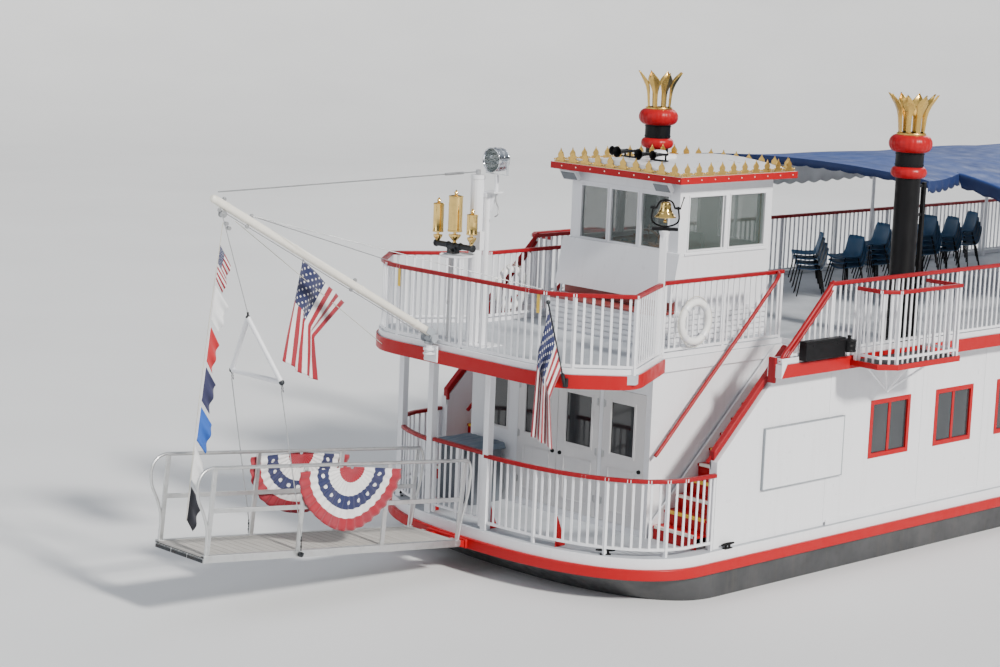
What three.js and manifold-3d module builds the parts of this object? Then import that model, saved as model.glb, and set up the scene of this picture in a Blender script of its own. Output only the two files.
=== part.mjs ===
// Small two-deck sternwheel paddle boat, at its real size.
// Millimetres. +X points to the bow, +Y to port and +Z up. The origin is on the flat bottom of the hull, on
// the centreline, amidships. The boat floats with 600 mm of the hull under water.

import * as THREE from 'three';
import { mergeVertices } from 'three/addons/utils/BufferGeometryUtils.js';
import Module from 'manifold-3d';

const wasm = await Module();
wasm.setup();

// Driving dimensions
const GAP = 0.4; // left between pieces that touch
const STERN = -9000; // transom
const BOW_CENTRE = 7400; // where the bow's round starts
const BOW_LENGTH = 1630;
const HALF_BEAM = 2850;
const BOW_POWER = 2.4; // exponent of the bow's superellipse
const MAIN_DECK = 1250;
const UPPER_DECK = 3770;
const UPPER_THICK = 120;
const RAIL_HEIGHT = 1070; // passenger rail, deck to top of cap
const HOUSE_FRONT = 7440;
const HOUSE_AFT = -7400;
const HOUSE_NARROW = 1800; // half width of the deckhouse between the stairs
const WALL = 50;
const STAIR_TOP_X = 4700;
const STAIR_RUN = 2660;
const STAIR_RISERS = 13;
const STAIR_OUT = 2660; // outer side of the treads
const BULWARK = { front: 7150, rise: 1030, thick: 140 }; // the solid side of the stairs, up to the handrail
const UPPER_AFT = -8700;
const UPPER_HALF = 3000;
const PILOT = { front: 6250, aft: 4210, half: 1070, floor: 4120, top: 6110, sill: 5110, head: 5890 };
const STACK = { x: 2850, y: 2500, radius: 185 };
const STAGE = { hinge: 9260, z: 1130, y: -475, width: 1050, length: 4500, pitch: 5.8 };
const BOOM = { x: 9560, y: -475, z: 4010, length: 4300, pitch: 28.3, radius: 55 };
const MAST = { x: 8750, y: -475, top: 6160, radius: 95 };
const WHEEL = { x: -11100, z: 1760, radius: 1440, half: 1900, buckets: 12 };
const RUDDER = { x: -9170, y: 1000 };
const CANOPY = {
  front: 2100, main: 450, aft: -8450, half: 2860, edge: 2946, crown: 6225, curve: 4.7e-5, hem: 5450,
};
// The narrower fore part, which widens and flattens towards its front bow
const FORE_CANOPY = { near: 1720, far: 2330, crown: 6200, curve: 2e-5, side: 190, front: 110 };
const RAIL = { cap: 60, capDepth: 45, bar: 36, barLow: 90, barHigh: 125, post: 44 };
const DECK_POST = 100; // square posts that carry the upper deck
const GUARD = { low: 950, high: 1110, out: 60 }; // rubbing band round the hull
const RUDDER_SHOE = { low: 855, high: 925 }; // the gudgeon that each rudder stock turns in
// Windows in the deckhouse's sides
const WINDOW = { low: 2150, high: 2950, pitch: 1600, first: 3300, count: 7, half: 450 };
const DOOR_WINDOW = { low: 2320, high: 3080 };
const STRIP = 30; // the fascia stands this far out of the upper deck's edge
const FASCIA_LOW = UPPER_DECK - 190;

// Paint
const PAINT = {
  white: [0xe9e9ec, 0.45, 0],
  grey: [0xa9adb2, 0.7, 0],
  dark: [0x24282c, 0.6, 0],
  red: [0xc41424, 0.4, 0],
  black: [0x111214, 0.35, 0],
  gold: [0xc79a36, 0.35, 0.9],
  brass: [0xb8892f, 0.3, 1],
  blue: [0x1c3f86, 0.8, 0],
  aluminium: [0xb9bcbf, 0.4, 1],
  steel: [0x9aa0a6, 0.35, 1],
  cream: [0xf1ead6, 0.45, 0],
  rope: [0xd8d2c2, 0.9, 0],
};

const boat = new THREE.Group();

// Joining and cutting
function solid(geometry) {
  const bare = geometry.clone();
  bare.deleteAttribute('normal');
  bare.deleteAttribute('uv');
  const merged = mergeVertices(bare, 0.001);
  return new wasm.Manifold(new wasm.Mesh({
    numProp: 3,
    vertProperties: new Float32Array(merged.attributes.position.array),
    triVerts: new Uint32Array(merged.index.array),
  }));
}

function toGeometry(manifold) {
  const mesh = manifold.getMesh();
  const geometry = new THREE.BufferGeometry();
  geometry.setAttribute('position', new THREE.BufferAttribute(new Float32Array(mesh.vertProperties), 3));
  geometry.setIndex(new THREE.BufferAttribute(new Uint32Array(mesh.triVerts), 1));
  return geometry;
}

function join(parts) {
  return toGeometry(parts.map(solid).reduce((whole, part) => whole.add(part)));
}

function cut(body, tools) {
  return toGeometry(tools.map(solid).reduce((whole, tool) => whole.subtract(tool), solid(body)));
}

function overlap(a, b) {
  return toGeometry(solid(a).intersect(solid(b)));
}

function piece(name, geometry, [color, roughness, metalness], parent = boat) {
  const material = new THREE.MeshStandardMaterial({ color, roughness, metalness });
  const mesh = new THREE.Mesh(geometry, material);
  mesh.name = name;
  parent.add(mesh);
  return mesh;
}

// Plain shapes
function box(x0, x1, y0, y1, z0, z1) {
  const shape = new THREE.BoxGeometry(x1 - x0, y1 - y0, z1 - z0);
  return shape.translate((x0 + x1) / 2, (y0 + y1) / 2, (z0 + z1) / 2);
}

function shapeOf(points) {
  return new THREE.Shape(points.map(([a, b]) => new THREE.Vector2(a, b)));
}

// An outline in plan, raised from z0 to z1
function inPlan(points, z0, z1) {
  const shape = new THREE.ExtrudeGeometry(shapeOf(points), { depth: z1 - z0, bevelEnabled: false });
  return shape.translate(0, 0, z0);
}

// An outline of x and z, from y0 to y1, with openings as [x0, x1, z0, z1]
function fromSide(points, y0, y1, openings = []) {
  const shape = new THREE.ExtrudeGeometry(shapeOf(points), { depth: y1 - y0, bevelEnabled: false });
  shape.rotateX(Math.PI / 2).translate(0, y1, 0);
  const tools = openings.map(([a, b, low, high]) => box(a, b, y0 - 5, y1 + 5, low, high));
  return tools.length ? cut(shape, tools) : shape;
}

// An outline of y and z, from x0 to x1, with openings as [y0, y1, z0, z1]
function fromFront(points, x0, x1, openings = []) {
  const shape = new THREE.ExtrudeGeometry(shapeOf(points), { depth: x1 - x0, bevelEnabled: false });
  const turn = new THREE.Matrix4().makeBasis(
    new THREE.Vector3(0, 1, 0), new THREE.Vector3(0, 0, 1), new THREE.Vector3(1, 0, 0));
  shape.applyMatrix4(turn).translate(x0, 0, 0);
  const tools = openings.map(([a, b, low, high]) => box(x0 - 5, x1 + 5, a, b, low, high));
  return tools.length ? cut(shape, tools) : shape;
}

function rectangle(a0, a1, b0, b1) {
  return [[a0, b0], [a1, b0], [a1, b1], [a0, b1]];
}

// A round bar between two points
function rod(from, to, radius, sides = 8) {
  const a = new THREE.Vector3(...from);
  const b = new THREE.Vector3(...to);
  const along = new THREE.Vector3().subVectors(b, a);
  const shape = new THREE.CylinderGeometry(radius, radius, along.length(), sides);
  const up = new THREE.Vector3(0, 1, 0);
  const turn = new THREE.Quaternion().setFromUnitVectors(up, along.clone().normalize());
  const middle = a.add(b).multiplyScalar(0.5);
  return shape.applyQuaternion(turn).translate(middle.x, middle.y, middle.z);
}

// A flat bar between two points of the plan, its height from z0 to z1
function bar([x0, y0], [x1, y1], width, z0, z1) {
  const length = Math.hypot(x1 - x0, y1 - y0);
  const shape = new THREE.BoxGeometry(length + width, width, z1 - z0);
  return shape.rotateZ(Math.atan2(y1 - y0, x1 - x0)).translate((x0 + x1) / 2, (y0 + y1) / 2, (z0 + z1) / 2);
}

// A turned piece, its profile given as radius and height
function turned(profile, sides, x, y, z = 0) {
  const shape = new THREE.LatheGeometry(profile.map(([r, h]) => new THREE.Vector2(r, h)), sides);
  return shape.rotateX(Math.PI / 2).translate(x, y, z);
}

const mirrored = (points) => points.map(([x, y]) => [x, -y]).reverse();
const sides = [['port', 1], ['starboard', -1]];

// Points of the bow's round on the port side, from the shoulder to the stem
function bowRound(inset, steps = 8) {
  const points = [];
  for (let i = 0; i <= steps; i += 1) {
    const t = (Math.PI / 2) * (1 - i / steps);
    points.push([
      BOW_CENTRE + (BOW_LENGTH - inset) * Math.cos(t) ** (2 / BOW_POWER),
      (HALF_BEAM - inset) * Math.sin(t) ** (2 / BOW_POWER),
    ]);
  }
  points[steps][1] = 0;
  points[0][0] = BOW_CENTRE;
  return points;
}

function deckOutline(inset) {
  const port = [[STERN + inset, HALF_BEAM - inset], ...bowRound(inset)];
  return [...port, ...mirrored(port.slice(0, -1))].reverse();
}

// A railing: cap, bottom bar and stanchions along a line of the plan
function railing(line, deck, spacing = 1500) {
  const cap = deck + RAIL_HEIGHT;
  const parts = [];
  const half = RAIL.post / 2;
  const under = cap - RAIL.capDepth / 2;
  const post = (x, y) => parts.push(box(x - half, x + half, y - half, y + half, deck + GAP, under));
  post(...line[0]);
  let since = 0;
  line.slice(1).forEach((end, i) => {
    const start = line[i];
    const length = Math.hypot(end[0] - start[0], end[1] - start[1]);
    parts.push(bar(start, end, RAIL.cap, cap - RAIL.capDepth, cap));
    parts.push(bar(start, end, RAIL.bar, deck + RAIL.barLow, deck + RAIL.barHigh));
    const count = Math.max(1, Math.round(length / spacing));
    for (let k = 1; k < count; k += 1) {
      const s = k / count;
      post(start[0] + s * (end[0] - start[0]), start[1] + s * (end[1] - start[1]));
    }
    since = count > 1 ? length / count : since + length;
    if (since > spacing / 2 || i === line.length - 2) {
      post(...end);
      since = 0;
    }
  });
  return parts;
}

// Hull: flat bottom, raked bow and stern, rounded in plan
const hullSide = [[-7400, 0], [6900, 0], [7900, 330], [9100, 1000], [9100, MAIN_DECK], [-9100, MAIN_DECK],
  [-9100, 520]];
function hull() {
  const shell = overlap(fromSide(hullSide, -3000, 3000), inPlan(deckOutline(0), -10, MAIN_DECK));
  const gudgeons = [];
  for (const y of [-RUDDER.y, RUDDER.y]) {
    const shoe = box(RUDDER.x - 70, STERN + 20, y - 70, y + 70, RUDDER_SHOE.low, RUDDER_SHOE.high);
    const [low, high] = [RUDDER_SHOE.low - 50, RUDDER_SHOE.high + 50];
    gudgeons.push(cut(shoe, [rod([RUDDER.x, y, low], [RUDDER.x, y, high], 42, 16)]));
  }
  return join([shell, ...gudgeons]);
}
piece('hull', hull(), PAINT.white);

// Red guard round the edge of the main deck
// The stage's hinge ears stand on it at the bow.
function mainGuard() {
  const ring = cut(inPlan(deckOutline(-GUARD.out), GUARD.low, GUARD.high), [
    inPlan(deckOutline(-GAP), GUARD.low - 50, GUARD.high + 50)]);
  const parts = [ring, box(9060, 9130, STAGE.y - 420, STAGE.y + 420, GUARD.low + 5, GUARD.high - 15)];
  for (const y of [-370, -230, 230, 370]) {
    parts.push(box(9110, STAGE.hinge + 30, STAGE.y + y - 22, STAGE.y + y + 22, STAGE.z - 125, STAGE.z - 32));
  }
  return join(parts);
}
piece('main_guard', mainGuard(), PAINT.red);

// Foredeck rails, with the posts that carry the upper deck
const GATE = { starboard: -1090, port: 130 };
const RAIL_START = BULWARK.front + 40;
const railLine = bowRound(75, 10);
const railX = (y) => BOW_CENTRE + (BOW_LENGTH - 75)
  * (1 - (Math.abs(y) / (HALF_BEAM - 75)) ** BOW_POWER) ** (1 / BOW_POWER);

function deckPost(x, y) {
  const half = DECK_POST / 2;
  return box(x - half, x + half, y - half, y + half, MAIN_DECK + GAP, UPPER_DECK - UPPER_THICK - GAP);
}

// Points of the bow's rail forward of the stairs, as far as the gate's opening
const railRound = (gate) => railLine.slice(1).filter(([x, y]) => x > RAIL_START + 100 && y > gate + 200);

function mainRailPort() {
  const line = [[RAIL_START, HALF_BEAM - 75], ...railRound(GATE.port), [railX(GATE.port), GATE.port]];
  return join([...railing(line, MAIN_DECK), deckPost(railX(GATE.port) - 20, GATE.port)]);
}

function mainRailStarboard() {
  const round = railRound(-GATE.starboard).map(([x, y]) => [x, -y]);
  const line = [[RAIL_START, -HALF_BEAM + 75], ...round, [railX(GATE.starboard), GATE.starboard]];
  const away = ([, y]) => Math.abs(y + 2100);
  const corner = round.reduce((best, point) => (away(point) < away(best) ? point : best));
  const posts = [deckPost(railX(GATE.starboard), GATE.starboard), deckPost(...corner)];
  return join([...railing(line, MAIN_DECK), ...posts]);
}
piece('main_rail_port', mainRailPort(), PAINT.white);
piece('main_rail_starboard', mainRailStarboard(), PAINT.white);

// Bow gate, hinged on the post at its port end
const gatePin = [railX(GATE.port) - 20, GATE.port - 100];
function bowGate() {
  const tip = [railX(GATE.starboard) + 10, GATE.starboard + 95];
  return join(railing([gatePin, tip], MAIN_DECK + 30, 600));
}
piece('bow_gate', bowGate(), PAINT.white);

piece('foredeck_locker', join([
  box(7560, 8140, -1730, -1000, MAIN_DECK + GAP, 2060),
  box(7530, 8170, -1760, -970, 2050, 2120),
]), PAINT.dark);

// Deckhouse
const DOOR = { bottom: MAIN_DECK + 90, top: 3260, edge: 1695, mullion: 850, half: 35 };
const HOUSE_TOP = UPPER_DECK - UPPER_THICK - GAP;
const FIXED_WINDOW = [-1500, -1030]; // beside the starboard door, over the locker
const frontOpenings = [
  [-DOOR.mullion + DOOR.half, DOOR.mullion - DOOR.half, DOOR.bottom, DOOR.top],
  [DOOR.mullion + DOOR.half, DOOR.edge, DOOR.bottom, DOOR.top],
  [...FIXED_WINDOW, DOOR_WINDOW.low, DOOR_WINDOW.high],
];
piece('deckhouse_front', fromFront(
  rectangle(-HOUSE_NARROW, HOUSE_NARROW, MAIN_DECK + GAP, HOUSE_TOP),
  HOUSE_FRONT - WALL, HOUSE_FRONT, frontOpenings), PAINT.white);

// Side windows of the deckhouse, as [aft, forward] of each
const sideWindows = [...Array(WINDOW.count).keys()].map((i) => {
  const x = WINDOW.first - i * WINDOW.pitch;
  return [x - WINDOW.half, x + WINDOW.half];
});
function deckhouseSide(side) {
  const outer = HALF_BEAM - 60;
  const long = fromSide(
    rectangle(HOUSE_AFT + GAP, STAIR_TOP_X, MAIN_DECK + GAP, HOUSE_TOP), outer - WALL, outer,
    sideWindows.map(([a, b]) => [a, b, WINDOW.low, WINDOW.high]));
  const step = box(STAIR_TOP_X - WALL, STAIR_TOP_X, HOUSE_NARROW - WALL, outer, MAIN_DECK + GAP, HOUSE_TOP);
  const fore = box(STAIR_TOP_X - WALL, HOUSE_FRONT - WALL - GAP, HOUSE_NARROW - WALL, HOUSE_NARROW,
    MAIN_DECK + GAP, HOUSE_TOP);
  const whole = join([long, step, fore]);
  return side > 0 ? whole : flipped(whole);
}

// The same piece on the other side of the boat
function flipped(geometry) {
  const copy = geometry.clone().scale(1, -1, 1);
  const index = copy.index ? Array.from(copy.index.array) : [...Array(copy.attributes.position.count).keys()];
  for (let i = 0; i < index.length; i += 3) {
    [index[i + 1], index[i + 2]] = [index[i + 2], index[i + 1]];
  }
  copy.setIndex(index);
  return copy;
}

for (const [name, side] of sides) {
  piece(`deckhouse_${name}`, deckhouseSide(side), PAINT.white);
}
const AFT_DOOR = { y0: -420, y1: 420 };
piece('deckhouse_aft', fromFront(
  rectangle(-HALF_BEAM + 60, HALF_BEAM - 60, MAIN_DECK + GAP, HOUSE_TOP), HOUSE_AFT - WALL, HOUSE_AFT,
  [[AFT_DOOR.y0, AFT_DOOR.y1, DOOR.bottom, DOOR.top], [-2100, -1100, WINDOW.low, WINDOW.high],
    [1100, 2100, WINDOW.low, WINDOW.high]]), PAINT.white);

// A door leaf with one tall window, from its hinge edge to its free edge
const LEAF = { clearance: 6, thick: 40 };
function leaf(y0, y1, x0, [a, b]) {
  const outline = rectangle(y0, y1, DOOR.bottom + LEAF.clearance, DOOR.top - LEAF.clearance);
  return fromFront(outline, x0, x0 + LEAF.thick, [[a, b, DOOR_WINDOW.low, DOOR_WINDOW.high]]);
}
const inner = DOOR.mullion - DOOR.half - LEAF.clearance;
const frontLeaves = [
  ['front_door_starboard', -inner, -4, [-680, -150]],
  ['front_door_port', 4, inner, [150, 680]],
  ['front_door_port_outer', DOOR.mullion + DOOR.half + LEAF.clearance, DOOR.edge - LEAF.clearance,
    [1030, 1500]],
];
for (const [name, y0, y1, window] of frontLeaves) {
  piece(name, leaf(y0, y1, HOUSE_FRONT + 2 - LEAF.thick, window), PAINT.white);
}
const aftLeaf = [AFT_DOOR.y0 + LEAF.clearance, AFT_DOOR.y1 - LEAF.clearance];
piece('aft_door', leaf(...aftLeaf, HOUSE_AFT - WALL - 2, [-230, 230]), PAINT.white);

// Outside stairs: stringers, treads and risers, and the panel that closes the outer side
const STAIR_FOOT_X = STAIR_TOP_X + STAIR_RUN;
const stairSlope = (UPPER_DECK - MAIN_DECK) / STAIR_RUN;
const STAIR_RAIL = BULWARK.rise + 60; // handrail above the line of the nosings
const SKIRTING = 210; // and the inner stringer's top
const nosing = (x) => MAIN_DECK + (STAIR_FOOT_X - x) * stairSlope;
const whereNosing = (z) => STAIR_FOOT_X - (z - MAIN_DECK) / stairSlope;

function stair() {
  const inside = HOUSE_NARROW + 58;
  const head = STAIR_TOP_X + 32;
  const foot = STAIR_FOOT_X + 60;
  const rise = (UPPER_DECK - MAIN_DECK) / STAIR_RISERS;
  const going = STAIR_RUN / (STAIR_RISERS - 1);
  const base = MAIN_DECK + GAP;
  const parts = [];
  for (let i = 0; i < STAIR_RISERS - 1; i += 1) {
    const x = STAIR_FOOT_X - i * going;
    const z = MAIN_DECK + (i + 1) * rise;
    parts.push(box(Math.max(x - going - 25, head), x + 20, inside, STAIR_OUT, z - 40, z));
  }
  const stringer = [[foot, base], [foot, MAIN_DECK + SKIRTING],
    [whereNosing(UPPER_DECK - SKIRTING), UPPER_DECK], [head, UPPER_DECK], [head, nosing(head) - 260],
    [STAIR_FOOT_X - 330, base]];
  parts.push(fromSide(stringer, inside - 26, inside + 10));
  const outside = STAIR_OUT - 10 + BULWARK.thick;
  const panelTop = FASCIA_LOW - 6;
  const panel = [[BULWARK.front, base], [BULWARK.front, nosing(BULWARK.front) + BULWARK.rise],
    [whereNosing(panelTop - BULWARK.rise), panelTop], [head, panelTop], [head, base]];
  parts.push(fromSide(panel, STAIR_OUT - 10, outside));
  const railY = outside - BULWARK.thick / 2;
  const handrail = (x) => [x, railY, nosing(x) + STAIR_RAIL];
  const railHead = 6000;
  parts.push(rod(handrail(railHead), handrail(BULWARK.front - 20), 28));
  for (const x of [railHead + 30, 6450, BULWARK.front - 40]) {
    const low = Math.min(panelTop, nosing(x) + BULWARK.rise) - 100;
    parts.push(box(x - 20, x + 20, railY - 20, railY + 20, low, nosing(x) + STAIR_RAIL - 10));
  }
  return join(parts);
}
piece('stair_port', stair(), PAINT.white);
piece('stair_starboard', flipped(stair()), PAINT.white);

// Upper deck: fan-shaped foredeck, a waist between the stairwells, then the full width
// A narrow strip of it runs forward outside each stairwell.
const SIDE_STRIP = { front: 6150, inner: 2800 };
const foreHalf = [[9470, 0], [9470, 1300], [9430, 1600], [9220, 1960], [8570, 2510], [7640, 2010],
  [7250, 1800], [STAIR_TOP_X, 1800], [STAIR_TOP_X, SIDE_STRIP.inner], [SIDE_STRIP.front, SIDE_STRIP.inner],
  [SIDE_STRIP.front, UPPER_HALF], [UPPER_AFT, UPPER_HALF]];
const upperOutline = [...foreHalf, ...mirrored(foreHalf.slice(1))];

// Moves each side of an outline outwards by a distance
function grown(points, distance) {
  return points.map((point, i) => {
    const before = points[(i + points.length - 1) % points.length];
    const after = points[(i + 1) % points.length];
    const normal = ([ax, ay], [bx, by]) => {
      const length = Math.hypot(bx - ax, by - ay);
      return [(by - ay) / length, (ax - bx) / length];
    };
    const n = normal(before, point);
    const m = normal(point, after);
    const scale = distance / (1 + n[0] * m[0] + n[1] * m[1]);
    return [point[0] + (n[0] + m[0]) * scale, point[1] + (n[1] + m[1]) * scale];
  });
}
piece('upper_deck', inPlan(upperOutline, UPPER_DECK - UPPER_THICK, UPPER_DECK), PAINT.grey);
piece('upper_fascia', cut(inPlan(grown(upperOutline, STRIP), FASCIA_LOW, UPPER_DECK), [
  inPlan(grown(upperOutline, GAP), FASCIA_LOW - 100, UPPER_DECK + 100)]), PAINT.red);

// Outboard wing platforms abreast of the stacks, with rail and V braces
const WING = { fore: 4650, aft: 2950, out: 3680, top: 3700 };
function wing() {
  const near = UPPER_HALF + STRIP + GAP;
  const outline = [[WING.fore, near], [WING.aft, near], [WING.aft, WING.out], [WING.fore - 230, WING.out],
    [WING.fore, 3500]].reverse();
  const line = [[WING.fore - 30, near + 60], [WING.fore - 30, 3480], [WING.fore - 240, WING.out - 35],
    [WING.aft + 35, WING.out - 35], [WING.aft + 35, near + 60]];
  const apex = [3770, near + 18, 3170];
  const ends = [[4400, near + 40, 3650], [4250, 3350, 3650], [4050, 3600, 3650], [3550, 3600, 3650]];
  return join([
    inPlan(outline, WING.top - 60, WING.top),
    ...railing(line, WING.top - 10, 1000),
    ...ends.map((end) => rod(apex, end, 16, 6)),
    new THREE.SphereGeometry(24, 8, 6).translate(apex[0], apex[1] + 8, apex[2]),
  ]);
}
piece('wing_port', wing(), PAINT.white);
piece('wing_starboard', flipped(wing()), PAINT.white);

// Rails of the upper deck
const foreRailHalf = [[9420, 1290], [9380, 1580], [9180, 1920], [8560, 2450], [7650, 1960], [7240, 1750],
  [STAIR_TOP_X + 30, 1750]];
const BELL = { x: 7400, y: 1832, z: 5877, turn: Math.PI / 4, low: -306 };
// Places shapes drawn about the bell's pivot, with its pin along Y
const atBell = (shapes) => shapes.map((shape) => shape.rotateZ(BELL.turn).translate(BELL.x, BELL.y, BELL.z));
function bellPost() {
  const { x, y, z } = BELL;
  const top = z + BELL.low - GAP;
  return [rod([x, y, UPPER_DECK + GAP], [x, y, top], 42, 12), rod([x, y, top - 28], [x, y, top], 62, 12)];
}
const foreRailLine = [...foreRailHalf.slice().reverse(), ...foreRailHalf.map(([x, y]) => [x, -y])];
piece('foredeck_rail', join([...railing(foreRailLine, UPPER_DECK), ...bellPost()]), PAINT.white);
// Beside each stairwell the rail slopes down to a short post at the deck's edge, in line with the stairs
const SLOPED_RAIL = { top: 5070, foot: 6080, y: 2950, radius: 28 };
const aftRailHalf = [[SLOPED_RAIL.top, SLOPED_RAIL.y], [UPPER_AFT + 50, SLOPED_RAIL.y]];
const aftRail = [...aftRailHalf, ...mirrored(aftRailHalf)];
function slopedRail(side) {
  const { top, foot, y, radius } = SLOPED_RAIL;
  const high = UPPER_DECK + RAIL_HEIGHT - RAIL.capDepth / 2;
  const low = high - (foot - top) * stairSlope;
  return [
    rod([top, side * y, high], [foot, side * y, low], radius),
    box(foot - 20, foot + 20, side * y - 20, side * y + 20, UPPER_DECK + GAP, low + 20),
  ];
}
const slopes = [...slopedRail(1), ...slopedRail(-1)];
piece('aft_deck_rail', join([...railing(aftRail, UPPER_DECK), ...slopes]), PAINT.white);

// Pilothouse
const P = PILOT;
piece('pilothouse_base', join([
  box(P.aft, P.front + 420, -P.half, P.half, UPPER_DECK + GAP, P.floor),
  box(P.front + GAP, P.front + 420, -P.half, P.half, P.floor - 10, P.floor + 100),
  box(P.front - 480, P.front - 130, -340, 340, P.floor - 10, P.floor + 980),
]), PAINT.white);

function pilothouseFront() {
  const openings = [-600, 0, 600].map((y) => [y - 270, y + 270, P.sill, P.head]);
  const outline = rectangle(-P.half, P.half, P.floor + GAP, P.top - GAP);
  const wall = fromFront(outline, P.front - WALL, P.front, openings);
  const skirt = fromSide([[P.front - 5, P.sill - 20], [P.front - 5, 4480], [P.front + 150, 4400],
    [P.front + 190, 4400], [P.front + 60, P.sill - 20]], -P.half - 90, P.half + 90);
  return join([wall, skirt]);
}
piece('pilothouse_front', pilothouseFront(), PAINT.white);
function pilothouseSide() {
  const openings = [[P.aft + 150, 5160], [5250, P.front - 200]].map(([a, b]) => [a, b, P.sill, P.head]);
  const outline = rectangle(P.aft, P.front - WALL - GAP, P.floor + GAP, P.top - GAP);
  return fromSide(outline, P.half - WALL, P.half, openings);
}
piece('pilothouse_port', pilothouseSide(), PAINT.white);
piece('pilothouse_starboard', flipped(pilothouseSide()), PAINT.white);
const PILOT_DOOR = { y0: -880, y1: -180, top: 6020 };
piece('pilothouse_aft', fromFront(
  rectangle(-P.half + WALL + GAP, P.half - WALL - GAP, P.floor + GAP, P.top - GAP), P.aft, P.aft + WALL,
  [[PILOT_DOOR.y0, PILOT_DOOR.y1, P.floor + 40, PILOT_DOOR.top], [80, 850, P.sill, P.head]]), PAINT.white);
piece('pilothouse_door', fromFront(
  rectangle(PILOT_DOOR.y0 + 6, PILOT_DOOR.y1 - 6, P.floor + 46, PILOT_DOOR.top - 6), P.aft - 2, P.aft + 38,
  [[PILOT_DOOR.y0 + 130, PILOT_DOOR.y1 - 130, P.sill, P.head]]), PAINT.white);

function roof() {
  const half = 1290;
  const edge = P.top + 90;
  const camber = [];
  for (let i = 0; i <= 8; i += 1) {
    const y = half - 60 - ((2 * half - 120) * i) / 8;
    camber.push([y, edge + 130 * Math.cos((Math.PI / 2) * (y / half))]);
  }
  return join([
    box(3930, 6500, -half, half, P.top, edge),
    fromFront([[-half + 60, edge - 5], [half - 60, edge - 5], ...camber], 3990, 6440),
  ]);
}
piece('pilothouse_roof', roof(), PAINT.white);

function cresting() {
  const [x0, x1, y] = [3950, 6480, 1270];
  const z = P.top + 90 + GAP;
  return cut(box(x0, x1, -y, y, z, z + 190), [box(x0 + 14, x1 - 14, -y + 14, y - 14, z - 10, z + 200)]);
}
piece('roof_cresting', cresting(), PAINT.gold);

function hornPair() {
  const z = P.top + 90 + 330;
  const profile = [[0, 0], [95, 0], [60, -60], [34, -150], [24, -480], [0, -480]];
  const parts = [box(5720, 6060, -300, 300, P.top + 90 + 130 + GAP, P.top + 90 + 165)];
  for (const y of [-210, 210]) {
    const trumpet = new THREE.LatheGeometry(profile.map(([r, h]) => new THREE.Vector2(r, h)), 12);
    parts.push(flippedFaces(trumpet).rotateZ(-Math.PI / 2).translate(6180, y, z));
    parts.push(box(5830, 5890, y - 20, y + 20, P.top + 90 + 140, z));
  }
  return join(parts);
}

function flippedFaces(geometry) {
  const copy = geometry.clone();
  const index = Array.from(copy.index.array);
  for (let i = 0; i < index.length; i += 3) {
    [index[i + 1], index[i + 2]] = [index[i + 2], index[i + 1]];
  }
  copy.setIndex(index);
  return copy;
}
piece('roof_horns', hornPair(), PAINT.black);

// Helm wheel, on the aft face of its console
const HELM = { x: P.front - 545, z: P.floor + 900 };
function helmWheel() {
  const parts = [new THREE.TorusGeometry(260, 18, 5, 16).rotateY(Math.PI / 2)];
  parts.push(rod([-35, 0, 0], [58, 0, 0], 40, 12));
  for (let i = 0; i < 3; i += 1) {
    const a = (i * Math.PI) / 3;
    const end = [0, 340 * Math.cos(a), 340 * Math.sin(a)];
    parts.push(rod(end.map((v) => -v), end, 13, 6));
  }
  return join(parts).translate(HELM.x, 0, HELM.z);
}
piece('helm_wheel', helmWheel(), PAINT.brass);

// Stacks: body, two round rings, and a crown of flared spear heads
function stack() {
  const r = STACK.radius;
  const bulge = (low, high, neck, out) => {
    const points = [];
    for (let i = 0; i <= 4; i += 1) {
      const a = -Math.PI / 2 + (Math.PI * i) / 4;
      points.push([neck + (out - neck) * Math.cos(a), (low + high) / 2 + ((high - low) / 2) * Math.sin(a)]);
    }
    return points;
  };
  const foot = [[0, UPPER_DECK + GAP], [r + 75, UPPER_DECK + GAP], [r + 75, UPPER_DECK + 25],
    [r, UPPER_DECK + 25]];
  const profile = [...foot,
    ...bulge(6180, 6350, r, 265), ...bulge(6560, 6815, 208, 320), [0, 6815]];
  return turned(profile, 16, STACK.x, STACK.y);
}

function crown() {
  const z = 6815 + GAP;
  const parts = [turned([[150, z], [215, z], [215, z + 30], [150, z + 30], [150, z]], 24, 0, 0)];
  const blade = [[188, z + 10], [200, z + 10], [214, z + 250], [262, z + 400], [372, z + 590], [358, z + 594],
    [250, z + 412], [200, z + 255]];
  for (let i = 0; i < 8; i += 1) {
    const arm = fromSide(blade, -38, 38);
    parts.push(arm.rotateZ((Math.PI / 4) * (i + 0.5)));
  }
  return join(parts).translate(STACK.x, STACK.y, 0);
}
piece('stack_port', stack(), PAINT.black);
piece('stack_starboard', flipped(stack()), PAINT.black);
piece('stack_crown_port', crown(), PAINT.gold);
piece('stack_crown_starboard', flipped(crown()), PAINT.gold);

// Canopy over the aft upper deck
const SKIN = 14; // thickness of the canopy's skin
const SKIN_LIFT = 45; // from the middle of a bow to the skin's outer face
const skinHeight = (y) => CANOPY.crown - CANOPY.curve * y * y;
const foreHeight = (y) => FORE_CANOPY.crown - FORE_CANOPY.curve * y * y;
const eave = CANOPY.half - 30;
const FORE_ARM = 5868; // height of the arms from the posts beside the stacks, under the valance
const bowStations = [390, -3450, -7070, -8390];
const arc = (half, height, count = 10) => [...Array(count + 1).keys()].map((i) => {
  const y = half * (1 - (2 * i) / count);
  return [y, height(y)];
});

// A bow: an arched bar across the boat
function bow(x, half, height) {
  const line = arc(half, height, 8);
  const top = line.map(([y, z]) => [y, z - SKIN_LIFT + 20]);
  const under = line.map(([y, z]) => [y, z - SKIN_LIFT - 20]).reverse();
  return fromFront([...under, ...top].reverse(), x - 20, x + 20);
}

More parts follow.
